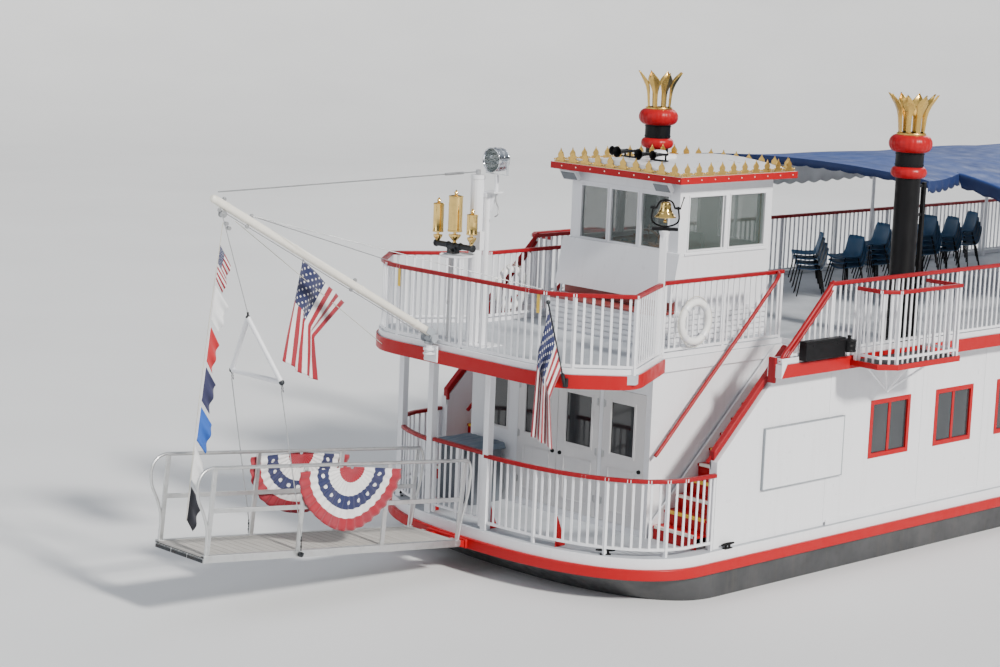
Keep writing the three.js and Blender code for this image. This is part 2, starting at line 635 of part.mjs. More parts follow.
function canopyFrame() {
  const parts = bowStations.map((x) => bow(x, eave, skinHeight));
  const foreBow = CANOPY.front - 60;
  const foreHalf = FORE_CANOPY.far - 130;
  parts.push(bow(foreBow, foreHalf, foreHeight));
  const ridge = [[bowStations[0], 0, CANOPY.crown - SKIN_LIFT], [foreBow, 0, FORE_CANOPY.crown - SKIN_LIFT]];
  parts.push(rod(...ridge, 18));
  for (const side of [1, -1]) {
    const high = skinHeight(eave) - SKIN_LIFT - 12;
    parts.push(rod([CANOPY.aft + 30, side * eave, high], [CANOPY.main - 30, side * eave, high], 26));
    for (const x of bowStations) {
      parts.push(rod([x, side * eave, UPPER_DECK + GAP], [x, side * eave, high], 32));
    }
    const corner = [foreBow, side * foreHalf, foreHeight(foreHalf) - SKIN_LIFT - 12];
    const inner = FORE_CANOPY.near - 110;
    parts.push(rod([bowStations[0], side * inner, skinHeight(inner) - SKIN_LIFT - 12], corner, 18));
    const y = side * STACK.y;
    parts.push(box(STACK.x - 430, STACK.x - 370, y - 30, y + 30, UPPER_DECK + GAP, 6100));
    const below = [foreBow, corner[1], FORE_ARM];
    parts.push(rod(corner, [foreBow, corner[1], FORE_ARM - 18], 18));
    parts.push(rod(below, [STACK.x - 400, y, FORE_ARM], 18));
  }
  return join(parts);
}
piece('canopy_frame', canopyFrame(), PAINT.white);

// A strip of the skin that hangs down by its own depth at both edges
function skin(half, height, drop, x0, x1) {
  const outer = arc(half, height);
  const low = outer[0][1] - drop;
  const inner = outer.map(([y, z]) => [y * 0.996, z - SKIN]).reverse();
  const outline = [[half, low], ...outer, [-half, low], [-half + SKIN, low], ...inner, [half - SKIN, low]];
  return fromFront(outline, x0, x1);
}

// The part of a front valance between two distances from the middle
function valance(from, to, height, depth, x) {
  const line = [0, 1, 2, 3, 4].map((i) => from + ((to - from) * i) / 4);
  const top = line.map((y) => [y, height(y) - 4]);
  return fromFront([...line.map((y) => [y, height(y) - depth]), ...top.reverse()], x - SKIN, x);
}

function canopyTop() {
  const drop = skinHeight(CANOPY.edge) - CANOPY.hem;
  const parts = [skin(CANOPY.edge, skinHeight, drop, CANOPY.aft, CANOPY.main)];
  const strips = 6;
  const step = (CANOPY.front - CANOPY.main) / strips;
  for (let i = 0; i < strips; i += 1) {
    const t = (i + 0.5) / strips;
    const half = FORE_CANOPY.near + (FORE_CANOPY.far - FORE_CANOPY.near) * t;
    const height = (y) => skinHeight(y) * (1 - t) + foreHeight(y) * t;
    const x = CANOPY.main + i * step;
    parts.push(skin(half, height, FORE_CANOPY.side, x - 1, x + step));
  }
  const { near, far } = FORE_CANOPY;
  parts.push(valance(-far, far, foreHeight, FORE_CANOPY.front, CANOPY.front));
  parts.push(valance(near, CANOPY.edge, skinHeight, FORE_CANOPY.side, CANOPY.main));
  parts.push(valance(-CANOPY.edge, -near, skinHeight, FORE_CANOPY.side, CANOPY.main));
  return join(parts);
}
piece('canopy_top', canopyTop(), PAINT.blue);

// Mast, searchlight post, whistle stand and bell post on the upper deck
const LIGHT = { x: 8590, y: -265, z: 6380, postTop: 5930 };
const LIGHT_POST = [LIGHT.x + 70, LIGHT.y - 95];
piece('mast', join([
  rod([MAST.x, MAST.y, UPPER_DECK + GAP], [MAST.x, MAST.y, MAST.top], MAST.radius, 16),
  rod([...LIGHT_POST, UPPER_DECK + GAP], [...LIGHT_POST, LIGHT.postTop], 45, 12),
  box(LIGHT.x - 70, LIGHT.x + 115, LIGHT.y - 140, LIGHT.y + 70, LIGHT.postTop - 10, LIGHT.postTop + 12),
  rod([LIGHT.x, LIGHT.y, LIGHT.postTop], [LIGHT.x, LIGHT.y, LIGHT.z - 213], 30, 12),
  box(LIGHT.x - 120, MAST.x + 150, MAST.y - 150, LIGHT.y + 120, UPPER_DECK + GAP, UPPER_DECK + 16),
]), PAINT.white);
function searchlight() {
  const { x, y, z } = LIGHT;
  const drum = [[0, -130], [120, -130], [165, -90], [175, 130], [0, 130]];
  const lamp = new THREE.LatheGeometry(drum.map(([r, h]) => new THREE.Vector2(r, h)), 20);
  const turn = lamp.rotateZ(-Math.PI / 2).translate(x, y, z);
  return join([
    turn,
    rod([x, y - 215, z], [x, y + 215, z], 14),
    box(x - 18, x + 18, y - 222, y - 198, z - 200, z + 18),
    box(x - 18, x + 18, y + 198, y + 222, z - 200, z + 18),
    box(x - 25, x + 25, y - 222, y + 222, z - 205, z - 183),
  ]);
}
piece('searchlight', searchlight(), PAINT.steel);

// Three whistles stand on a manifold over a round drip plate, on one steam pipe
const WHISTLE = { x: 9100, y: -585, shift: 55, spacing: 345, manifold: 1410 };
const whistleBells = [ // side, height from the deck of its low and high end, radius
  [-1, 1566, 1973, 75],
  [0, 1605, 2112, 98],
  [1, 1599, 1887, 75],
];
function whistles() {
  const { x, y, shift, spacing, manifold } = WHISTLE;
  const z = UPPER_DECK;
  const middle = y + shift;
  const half = spacing + 25;
  const bells = whistleBells.flatMap(([side, low, high, radius]) => {
    const at = (height) => [x, middle + side * spacing, z + height];
    return [
      rod(at(manifold), at(low), 16),
      rod(at(low - 30), at(high), radius, 16),
      rod(at(high - 5), at(high + 80), 14),
    ];
  });
  return join([
    rod([x, y, z + GAP], [x, y, z + 15], 110, 16),
    rod([x, y, z + GAP], [x, y, z + manifold], 38, 12),
    rod([x, middle + 60, z + manifold - 140], [x, middle + 60, z + manifold - 115], 240, 20),
    rod([x, middle - half, z + manifold], [x, middle + half, z + manifold], 45, 12),
    ...bells,
  ]);
}
piece('whistles', whistles(), PAINT.brass);

// A bent bar: rods between points of the plane of Y and Z, with a ball at each bend
function bentBar(points, radius) {
  const at = points.map(([y, z]) => [0, y, z]);
  const rods = at.slice(1).map((point, i) => rod(at[i], point, radius));
  const balls = at.slice(1, -1).map((point) => new THREE.SphereGeometry(radius, 8, 6).translate(...point));
  return [...rods, ...balls];
}

// The bell's stand: a narrow plate and a lyre that rises round the bell to its two bearings
function bellStand() {
  const half = [[110, -234], [172, -197], [190, -147], [184, -77], [172, 0]];
  const lyre = [...half.map(([y, z]) => [-y, z]).reverse(), [0, -262], ...half];
  return join(atBell([
    box(-50, 50, -180, 180, BELL.low, BELL.low + 38),
    ...bentBar(lyre, 12),
    ...[-1, 1].map((side) => rod([0, side * 158, 0], [0, side * 186, 0], 24, 14)),
  ]));
}
piece('bell_stand', bellStand(), PAINT.black);

function bell() {
  const outer = [[0, 88], [30, 87], [52, 80], [66, 66], [71, 45], [72, 20], [78, -12], [92, -45],
    [112, -78], [132, -103], [146, -118], [147, -126]];
  const inner = [[138, -126], [120, -98], [90, -60], [66, -10], [58, 40], [45, 62], [0, 68]];
  const half = [[45, 105], [85, 85], [110, 40], [122, 0], [150, 0]];
  return join(atBell([
    turned([...outer, ...inner].reverse(), 16, 0, 0),
    ...bentBar([...half.map(([y, z]) => [-y, z]).reverse(), ...half], 12),
    ...[-1, 1].map((side) => rod([0, side * 120, 0], [0, side * 150, 0], 18, 12)),
    rod([0, 0, 80], [0, 0, 108], 14),
    rod([0, 0, 78], [0, 0, -170], 8),
    new THREE.SphereGeometry(24, 10, 8).translate(0, 0, -185),
  ]));
}
piece('bell', bell(), PAINT.brass);

// Life rings on the outer side of the stairwell rails, and the equipment box outside the port rail
for (const [name, side] of sides) {
  const ring = new THREE.TorusGeometry(278, 54, 8, 20).rotateX(Math.PI / 2);
  piece(`life_ring_${name}`, ring.translate(6680, side * (1750 + 34 + 56), UPPER_DECK + 480), PAINT.white);
}
piece('equipment_box', join([
  box(4700, 5780, 2985, 3125, UPPER_DECK + 80, UPPER_DECK + 280),
  rod([4800, 3095, UPPER_DECK + 80], [4800, 3095, UPPER_DECK + 320], 105, 16),
  ...[5000, 5600].map((x) => box(x - 20, x + 20, 2990, 3028, UPPER_DECK + GAP, UPPER_DECK + 90)),
]), PAINT.black);

// Boom, on a step at the front edge of the upper deck
const rad = Math.PI / 180;
const STEP_FRONT = 9500; // the fore edge of the fascia
function boomStep() {
  return join([
    box(STEP_FRONT + GAP, STEP_FRONT + 30, BOOM.y - 130, BOOM.y + 130, UPPER_DECK - 170, UPPER_DECK + 60),
    box(STEP_FRONT + GAP, BOOM.x + 75, BOOM.y - 90, BOOM.y + 90, UPPER_DECK - 60, UPPER_DECK + 20),
    rod([BOOM.x, BOOM.y, UPPER_DECK - 80], [BOOM.x, BOOM.y, UPPER_DECK + 80], 45, 16),
  ]);
}
piece('boom_step', boomStep(), PAINT.white);

function boom() {
  const dir = [Math.cos(BOOM.pitch * rad), 0, Math.sin(BOOM.pitch * rad)];
  const at = (s, up = 0) => [BOOM.x + dir[0] * s - dir[2] * up, BOOM.y, BOOM.z + dir[2] * s + dir[0] * up];
  const head = at(BOOM.length - 260, -90);
  const ring = spreaderRing();
  return join([
    rod(at(-60), at(BOOM.length), BOOM.radius, 14),
    rod([BOOM.x, BOOM.y, UPPER_DECK + 86], [BOOM.x, BOOM.y, BOOM.z + 10], 42, 14),
    rod([BOOM.x, BOOM.y, UPPER_DECK + 86], [BOOM.x, BOOM.y, UPPER_DECK + 110], 70, 14),
    rod(at(BOOM.length - 200, 85), at(BOOM.length - 200, -85), 26, 8),
    rod(at(BOOM.length - 260, 0), head, 30, 8),
    rod(head, [ring[0] + 8, ring[1], ring[2] + 65], 8, 6),
    box(BOOM.x - 90, BOOM.x - 30, BOOM.y - 80, BOOM.y + 80, UPPER_DECK + 100, BOOM.z - 20),
  ]);
}

// Landing stage, hinged on the bow: deck, side rails, and the wires and spreader it hangs by
const pitch = STAGE.pitch * rad;
const stageAt = (s, y, up) => [
  STAGE.hinge + s * Math.cos(pitch) - up * Math.sin(pitch),
  STAGE.y + y,
  STAGE.z + s * Math.sin(pitch) + up * Math.cos(pitch)];
const LIFT = 2950; // from the hinge to the lifting eyes
const SPREADER = { x: 12560, half: 520, z: 3690 }; // its lower bar
function spreaderRing() {
  return [SPREADER.x + 160, STAGE.y, SPREADER.z + 780];
}
piece('boom', boom(), PAINT.cream);

function stageBar(s0, s1, y0, y1, up0, up1) {
  return box(s0, s1, y0, y1, up0, up1).rotateY(-pitch).translate(STAGE.hinge, STAGE.y, STAGE.z);
}

// A tube bent through points of the stage's side plane
function stageTube(points, y, radius) {
  const path = new THREE.CatmullRomCurve3(points.map(([s, up]) => new THREE.Vector3(...stageAt(s, y, up))));
  const section = new THREE.Shape();
  section.absarc(0, 0, radius, 0, 2 * Math.PI, false);
  const along = { steps: 10, curveSegments: 6, extrudePath: path, bevelEnabled: false };
  return new THREE.ExtrudeGeometry(section, along);
}

function stageSideRail(side) {
  const y = side * (STAGE.width / 2 - 30);
  const top = 1120;
  const posts = [100, 1500, 2960, STAGE.length - 60];
  const parts = posts.map((s) => stageBar(s - 32, s + 32, y - 14, y + 14, -20, top));
  parts.push(rod(stageAt(60, y, top), stageAt(STAGE.length + 20, y, top), 24, 8));
  parts.push(stageBar(100, STAGE.length - 60, y - 12, y + 12, 540, 600));
  const hoop = [[-10, top], [150, top - 90], [180, top - 330], [40, top - 620], [-25, top - 800], [-40, -40]];
  parts.push(stageTube(hoop.map(([a, up]) => [STAGE.length + a, up]), y, 20));
  const inboard = [[70, top], [-5, top - 90], [-25, top - 330], [10, top - 620], [50, top - 800], [85, -40]];
  parts.push(stageTube(inboard, y, 20));
  return parts;
}

function stage() {
  const half = STAGE.width / 2;
  const deck = stageBar(60, STAGE.length, -half, half, -95, 0);
  const pin = STAGE.z - 55;
  const lug = (y) => rod([STAGE.hinge, STAGE.y + y - 30, pin], [STAGE.hinge, STAGE.y + y + 30, pin], 35, 12);
  const lugs = [-300, 300].flatMap((y) => [lug(y),
    box(STAGE.hinge - 5, STAGE.hinge + 80, STAGE.y + y - 30, STAGE.y + y + 30, STAGE.z - 85, STAGE.z - 20)]);
  return join([deck, ...lugs, ...stageSideRail(1), ...stageSideRail(-1)]);
}
piece('landing_stage', stage(), PAINT.aluminium);

function spreader() {
  const ring = spreaderRing();
  const barEnd = (side) => [SPREADER.x, STAGE.y + side * SPREADER.half, SPREADER.z];
  const arm = (side) => {
    const low = barEnd(side);
    const eye = stageAt(LIFT, side * (STAGE.width / 2 + 30), -30);
    const deckEdge = [eye[0], STAGE.y + side * (STAGE.width / 2 + GAP), eye[2]];
    const lug = [eye[0], eye[1] + side * 20, eye[2]];
    return [rod(ring, low, 24, 8), rod(low, eye, 8, 6), rod(lug, deckEdge, 14, 6)];
  };
  return [...arm(1), ...arm(-1), rod(barEnd(1), barEnd(-1), 22, 8),
    new THREE.SphereGeometry(34, 10, 8).translate(...ring)];
}

piece('hoist_spreader', join(spreader()), PAINT.white);

// Topping lift from a swivel on the masthead to just above the boom's head
function toppingLift() {
  const high = MAST.top + 40;
  const reach = BOOM.length * Math.cos(BOOM.pitch * rad);
  const rise = BOOM.length * Math.sin(BOOM.pitch * rad);
  const end = [BOOM.x + reach - 110, MAST.y, BOOM.z + rise + 60];
  return join([
    rod([MAST.x, MAST.y, MAST.top + 6], [MAST.x, MAST.y, high + 30], 34, 12),
    rod([MAST.x, MAST.y, high], end, 8, 6),
    rod([MAST.x + 280, MAST.y, high - 6], [MAST.x + 620, MAST.y, high - 13], 18, 8),
  ]);
}
piece('topping_lift', toppingLift(), PAINT.steel);

// Paddle wheel: shaft, three spiders and the bucket boards
function paddleWheel() {
  const corners = (radius) => [...Array(WHEEL.buckets).keys()].map((i) => {
    const a = (2 * Math.PI * i) / WHEEL.buckets;
    return [radius * Math.cos(a), radius * Math.sin(a)];
  });
  const rim = (radius, y) => cut(fromSide(corners(radius + 28), y - 28, y + 28), [
    fromSide(corners(radius - 28), y - 60, y + 60)]);
  const parts = [rod([0, -WHEEL.half - 330, 0], [0, WHEEL.half + 330, 0], 70, 12)];
  for (const y of [-WHEEL.half + 120, 0, WHEEL.half - 120]) {
    parts.push(rod([0, y - 60, 0], [0, y + 60, 0], 190, 12));
    parts.push(rim(WHEEL.radius - 300, y));
    for (let i = 0; i < WHEEL.buckets; i += 1) {
      const a = (2 * Math.PI * i) / WHEEL.buckets;
      parts.push(box(100, WHEEL.radius - 60, y - 28, y + 28, -28, 28).rotateY(-a));
    }
  }
  for (let i = 0; i < WHEEL.buckets; i += 1) {
    const board = box(WHEEL.radius - 380, WHEEL.radius, -WHEEL.half, WHEEL.half, 20, 60);
    parts.push(board.rotateY(-(2 * Math.PI * i) / WHEEL.buckets));
  }
  return join(parts).translate(WHEEL.x, 0, WHEEL.z);
}
piece('paddle_wheel', paddleWheel(), PAINT.red);

function wheelBeam() {
  const y = WHEEL.half + 190;
  const lower = [[-8100, MAIN_DECK + GAP], [-8100, MAIN_DECK + 330], [WHEEL.x - 260, WHEEL.z - 60],
    [WHEEL.x - 260, WHEEL.z - 340], [-9060, MAIN_DECK - 30], [-9060, MAIN_DECK + GAP]];
  const block = cut(box(WHEEL.x - 200, WHEEL.x + 200, y - 70, y + 70, WHEEL.z - 200, WHEEL.z + 150), [
    rod([WHEEL.x, y - 200, WHEEL.z], [WHEEL.x, y + 200, WHEEL.z], 78, 16)]);
  const beam = cut(fromSide(lower, y - 80, y + 80), [
    rod([WHEEL.x, y - 200, WHEEL.z], [WHEEL.x, y + 200, WHEEL.z], 78, 16)]);
  const caseBox = box(WHEEL.x + 700, WHEEL.x + 2300, y + 70, y + 330, MAIN_DECK + 40, MAIN_DECK + 560);
  return join([block, beam, caseBox]);
}
piece('wheel_beam_port', wheelBeam(), PAINT.white);
piece('wheel_beam_starboard', flipped(wheelBeam()), PAINT.white);

// Rudders, hung behind the transom
for (const [name, side] of sides) {
  const y = side * RUDDER.y;
  const blade = box(RUDDER.x - 400, RUDDER.x + 110, y - 18, y + 18, 60, 840);
  piece(`rudder_${name}`, join([blade, rod([RUDDER.x, y, 60], [RUDDER.x, y, 1290], 34, 12),
    box(RUDDER.x - 40, RUDDER.x + 40, y - 60, y + 60, 1240, 1300)]), PAINT.red);
}

// Fans of bunting on the outer sides of the stage's rails
const BUNTING = { centre: 2200, half: 870, drop: 850, top: 1096, out: 521 };
function bunting(side) {
  const arc = [];
  for (let i = 0; i <= 12; i += 1) {
    const a = (Math.PI * i) / 12;
    arc.push([BUNTING.centre - BUNTING.half * Math.cos(a), BUNTING.top - BUNTING.drop * Math.sin(a)]);
  }
  const y0 = side > 0 ? BUNTING.out : -BUNTING.out - 5;
  return fromSide(arc, y0, y0 + 5).rotateY(-pitch).translate(STAGE.hinge, STAGE.y, STAGE.z);
}
for (const [name, side] of sides) {
  piece(`bunting_${name}`, bunting(side), PAINT.red);
}

// Flag hanging from the halyard that runs from the boom's head to the front of the upper deck
// Its outline is measured along the halyard in plan, and up.
const HALYARD = { from: [12950, -475], to: [9450, -1580] };
function boomFlag() {
  const turn = Math.atan2(HALYARD.to[1] - HALYARD.from[1], HALYARD.to[0] - HALYARD.from[0]);
  const cloth = [[1569, 5090], [1202, 3760], [1950, 3362], [1996, 3380], [1911, 3989], [2648, 4380]];
  return fromSide(cloth, -3, 3).rotateZ(turn).translate(HALYARD.from[0], HALYARD.from[1], 0);
}
piece('boom_flag', boomFlag(), PAINT.red);

export default boat;
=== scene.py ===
# %% [markdown]
# A small two-deck sternwheel paddle boat, as it lies at its landing with the stage swung out over the bow.
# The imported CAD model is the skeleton: every piece made here sits on one of its nodes and moves with one of
# its bodies. Lengths are in metres, +X points to the bow, +Y to port and +Z up, and the water stands at z =
# 0.60.

# %% Load the frame
import math

import bmesh
import bpy
from mathutils import Matrix, Vector


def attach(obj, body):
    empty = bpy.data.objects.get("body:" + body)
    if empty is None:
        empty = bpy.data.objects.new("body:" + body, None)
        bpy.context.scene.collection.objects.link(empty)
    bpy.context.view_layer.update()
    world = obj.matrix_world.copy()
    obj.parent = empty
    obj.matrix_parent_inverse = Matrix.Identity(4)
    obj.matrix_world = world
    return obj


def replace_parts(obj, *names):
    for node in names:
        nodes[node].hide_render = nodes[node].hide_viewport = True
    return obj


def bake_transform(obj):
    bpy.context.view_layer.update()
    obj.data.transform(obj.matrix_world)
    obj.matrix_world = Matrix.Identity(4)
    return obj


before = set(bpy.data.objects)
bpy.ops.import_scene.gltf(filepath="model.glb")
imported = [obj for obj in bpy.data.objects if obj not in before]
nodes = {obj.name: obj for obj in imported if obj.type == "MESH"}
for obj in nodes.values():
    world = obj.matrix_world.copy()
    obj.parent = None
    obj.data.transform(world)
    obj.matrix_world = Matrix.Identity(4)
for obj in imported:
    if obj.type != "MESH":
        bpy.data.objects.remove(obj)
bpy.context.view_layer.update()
WATERLINE = 0.60

# %% [markdown]
# The camera stands off the port bow, a little above the upper deck, and looks down at nine degrees. Its
# place, direction and lens were found by fitting the boat's own edges, so it is set from angles and not
# aimed by eye.

# %% Camera
CAMERA = {"place": (30.974, 22.929, 9.237), "yaw": 3.9407, "pitch": 0.1627, "roll": 0.0403, "lens": 83.9}


def shown(name, data):
    """Puts a camera, lamp or mesh in the scene as an object."""
    obj = bpy.data.objects.new(name, data)
    bpy.context.scene.collection.objects.link(obj)
    return obj


def place_camera(place, yaw, pitch, roll, lens):
    forward = Vector((math.cos(yaw) * math.cos(pitch), math.sin(yaw) * math.cos(pitch), -math.sin(pitch)))
    level = Vector((math.sin(yaw), -math.cos(yaw), 0.0))
    upright = level.cross(forward)
    right = level * math.cos(roll) + upright * math.sin(roll)
    top = upright * math.cos(roll) - level * math.sin(roll)
    camera = shown("camera", bpy.data.cameras.new("camera"))
    turn = Matrix((right, top, -forward)).transposed().to_4x4()
    camera.matrix_world = Matrix.Translation(place) @ turn
    camera.data.lens = lens
    camera.data.sensor_width = 36.0
    camera.data.clip_end = 500.0
    return camera


bpy.context.scene.camera = place_camera(**CAMERA)

# %% [markdown]
# The boat is mostly white, so the light has to model white on white. In the photograph the port side is in
# full sun and the bow in open shade: a sun-like key with soft edges stands high on the port side, a weaker
# fill off the bow, a cool one behind. The world is darker near the horizon and pale overhead, so that brass
# and gloss show contrast.

# %% Light


def area_light(name, place, target, size, watts, colour):
    data = bpy.data.lights.new(name, "AREA")
    data.shape = "DISK"
    data.size = size
    data.energy = watts
    data.color = colour
    lamp = shown(name, data)
    lamp.location = place
    lamp.rotation_euler = (Vector(target) - Vector(place)).to_track_quat("-Z", "Y").to_euler()
    return lamp


sun = shown("key", bpy.data.lights.new("key", "SUN"))
sun.data.energy = 5.2
sun.data.angle = math.radians(7)
sun.data.color = (1.0, 0.965, 0.91)
sun.rotation_euler = (Vector((3, 0, 3)) - Vector((4, 38, 29))).to_track_quat("-Z", "Y").to_euler()
area_light("fill", (38, -4, 20), (6, 0, 3), 20, 3000, (0.90, 0.94, 1.0))
area_light("back", (-34, -14, 24), (-4, 0, 3), 16, 4500, (0.93, 0.96, 1.0))

world = bpy.data.worlds.new("pale_world")
bpy.context.scene.world = world
world.use_nodes = True
world_nodes, world_links = world.node_tree.nodes, world.node_tree.links
sky = world_nodes.new("ShaderNodeValToRGB")
for place, tone in ((0.28, (0.14, 0.15, 0.17)), (0.42, (0.36, 0.40, 0.46)), (0.70, (0.80, 0.86, 0.95))):
    sky.color_ramp.elements.new(place).color = (*tone, 1)
sky.color_ramp.elements[0].color = (0.30, 0.31, 0.33, 1)
sky.color_ramp.elements[-1].color = (0.95, 0.97, 1.0, 1)
direction = world_nodes.new("ShaderNodeSeparateXYZ")
world_links.new(world_nodes.new("ShaderNodeTexCoord").outputs["Generated"], direction.inputs[0])
world_links.new(direction.outputs["Z"], sky.inputs["Fac"])
world_links.new(sky.outputs["Color"], world_nodes["Background"].inputs["Color"])
world_nodes["Background"].inputs["Strength"].default_value = 0.56

# %% [markdown]
# Nearly every finish on the boat is paint over metal or timber. One builder makes them all: a colour that
# drifts a little over the surface, faint runs of grime down upright faces, brush marks in the gloss, and a
# fine bump. The patterns read Object coordinates, because each piece's place is in its mesh and the object
# stays unturned.

# %% Node helpers


class Nodes:
    """A material's node tree, with short ways to add and link nodes."""

    def __init__(self, name):
        self.material = bpy.data.materials.new(name)
        self.material.use_nodes = True
        self.tree = self.material.node_tree
        self.shader = self.tree.nodes["Principled BSDF"]
        self.place = self.add("ShaderNodeTexCoord").outputs["Object"]

    def add(self, kind, links=None, **values):
        node = self.tree.nodes.new(kind)
        for key, value in values.items():
            if hasattr(node, key):
                setattr(node, key, value)
        for key, value in (links or {}).items():
            if isinstance(value, bpy.types.NodeSocket):
                self.tree.links.new(value, node.inputs[key])
            else:
                node.inputs[key].default_value = value
        return node

    def noise(self, scale, detail=3.0, roughness=0.5, vector=None):
        links = {"Vector": vector or self.place, "Scale": scale, "Detail": detail, "Roughness": roughness}
        return self.add("ShaderNodeTexNoise", links).outputs["Fac"]

    def stretched(self, x, y, z):
        return self.add("ShaderNodeMapping", {"Vector": self.place, "Scale": (x, y, z)}).outputs["Vector"]

    def band(self, value, low, high, to_low=0.0, to_high=1.0):
        links = {"Value": value, "From Min": low, "From Max": high, "To Min": to_low, "To Max": to_high}
        return self.add("ShaderNodeMapRange", links).outputs["Result"]

    def mix(self, factor, first, second):
        node = self.add("ShaderNodeMix", data_type="RGBA")
        for index, value in ((0, factor), (6, first), (7, second)):
            if isinstance(value, bpy.types.NodeSocket):
                self.tree.links.new(value, node.inputs[index])
            elif index == 0:
                node.inputs[index].default_value = value
            else:
                node.inputs[index].default_value = (*value, 1)
        return node.outputs[2]

    def maths(self, operation, first, second=0.0):
        node = self.add("ShaderNodeMath", {0: first, 1: second}, operation=operation)
        return node.outputs[0]

    def axes(self, vector=None):
        return self.add("ShaderNodeSeparateXYZ", {"Vector": vector or self.place}).outputs

    def bump(self, height, distance, strength=1.0):
        bump = self.add("ShaderNodeBump", {"Height": height, "Distance": distance, "Strength": strength})
        self.tree.links.new(bump.outputs["Normal"], self.shader.inputs["Normal"])

    def link(self, value, name):
        self.tree.links.new(value, self.shader.inputs[name])

    def set(self, **values):
        for key, value in values.items():
            self.shader.inputs[key.replace("_", " ")].default_value = value
        return self.material


def painted(name, colour, roughness=0.35, grime=0.35, coat=0.25, metallic=0.0, wear=0.04, shine=0.5):
    """Enamel paint: drift in the colour, runs of grime, a worn gloss and an orange-peel bump."""
    n = Nodes(name)
    dirt = tuple(c * 0.45 + 0.10 * k for c, k in zip(colour, (1.0, 0.86, 0.62)))
    faded = tuple(min(1.0, c * (1 - wear) + wear) for c in colour)
    drift = n.band(n.noise(1.3, 4), 0.35, 0.7)
    runs = n.band(n.noise(1.0, 5, 0.6, n.stretched(9.0, 9.0, 0.7)), 0.52, 0.85, 0.0, grime)
    spots = n.band(n.noise(26.0, 3), 0.62, 0.8, 0.0, grime * 0.5)
    base = n.mix(drift, colour, faded)
    stained = n.mix(runs, base, dirt)
    n.link(n.mix(spots, stained, dirt), "Base Color")
    n.link(n.band(n.noise(7.0, 4), 0.3, 0.75, roughness * 0.8, roughness * 1.5), "Roughness")
    n.bump(n.noise(90.0, 3), 0.0006, 0.6)
    return n.set(Metallic=metallic, Coat_Weight=coat, Coat_Roughness=0.2, Specular_IOR_Level=shine)


# %% Paints
WHITE = painted("white_enamel", (0.79, 0.80, 0.83), 0.34, 0.20)
DOOR_WHITE = painted("door_white", (0.70, 0.69, 0.69), 0.42, 0.16)
RED = painted("red_enamel", (0.40, 0.002, 0.006), 0.38, 0.06, coat=0.05, wear=0.002, shine=0.25)
RAIL_RED = painted("rail_red", (0.28, 0.002, 0.007), 0.38, 0.06, coat=0.05, wear=0.002, shine=0.25)
BROWN_RED = painted("brown_red", (0.26, 0.035, 0.03), 0.45, 0.25, wear=0.02)
BLACK = painted("black_enamel", (0.005, 0.005, 0.006), 0.42, 0.02, coat=0.04, wear=0.002, shine=0.16)
CREAM = painted("cream_enamel", (0.82, 0.79, 0.70), 0.38, 0.18)
GREY_STEEL = painted("grey_steel", (0.30, 0.33, 0.36), 0.42, 0.2)
DARK_LID = painted("dark_lid", (0.085, 0.10, 0.12), 0.5, 0.2)
YELLOW = painted("yellow_edge", (0.72, 0.46, 0.02), 0.45, 0.2)
# The hull's side below the guard is painted near-black: a painted shade for the shadow under the guard and
# deck.
HULL_SHADE = painted("hull_painted_shade", (0.020, 0.022, 0.025), 0.4, 0.3, wear=0.03)

# %% [markdown]
# The rest of the finishes: non-skid deck paint, brass and gilding, mill aluminium, chrome, glass, cloth,
# rope and weathered planks. Metals get their life from a roughness that changes along the metal, glass from
# a dark tint under a sharp reflection, and cloth from two crossed waves that stand for the weave.

# %% Metals, glass and deck


def metal(name, colour, rough=(0.12, 0.3), tarnish=(0.3, 0.2, 0.1), amount=0.35, brushed=(1, 1, 1),
          bump=0.0003):
    n = Nodes(name)
    stain = n.band(n.noise(9.0, 5, 0.6), 0.5, 0.78, 0.0, amount)
    n.link(n.mix(stain, colour, tarnish), "Base Color")
    grain = n.noise(14.0, 4, 0.6, n.stretched(*brushed))
    n.link(n.band(grain, 0.3, 0.7, *rough), "Roughness")
    n.bump(grain, bump, 0.5)
    return n.set(Metallic=1.0)


BRASS = metal("polished_brass", (0.86, 0.60, 0.20), (0.10, 0.24))
GOLD = metal("gilding", (0.72, 0.47, 0.13), (0.22, 0.42), (0.42, 0.27, 0.10), 0.5)
ALUMINIUM = metal("mill_aluminium", (0.66, 0.67, 0.67), (0.30, 0.50), (0.40, 0.39, 0.36), 0.4, (1, 1, 12))
CHROME = metal("chrome_plate", (0.80, 0.82, 0.85), (0.05, 0.16), (0.5, 0.5, 0.5), 0.25)
GALVANISED = metal("galvanised_wire", (0.50, 0.51, 0.52), (0.35, 0.55), (0.30, 0.28, 0.25), 0.5)
IRON = metal("dark_iron", (0.06, 0.065, 0.07), (0.4, 0.6), (0.10, 0.06, 0.04), 0.4)


def deck_paint(name, colour):
    """Non-skid paint: a sandy bump, worn paths and a few scuffs."""
    n = Nodes(name)
    worn = tuple(c * 0.72 for c in colour)
    path = n.band(n.noise(0.8, 5, 0.6), 0.4, 0.7)
    scuff = n.band(n.noise(6.0, 6, 0.7, n.stretched(0.4, 3.0, 1.0)), 0.6, 0.75, 0.0, 0.5)
    n.link(n.mix(scuff, n.mix(path, colour, worn), (0.25, 0.25, 0.26)), "Base Color")
    n.bump(n.noise(420.0, 2), 0.0012, 0.8)
    return n.set(Roughness=0.72)


DECK = deck_paint("deck_grey", (0.50, 0.53, 0.57))
WING_DECK = deck_paint("wing_deck_dark", (0.030, 0.033, 0.036))


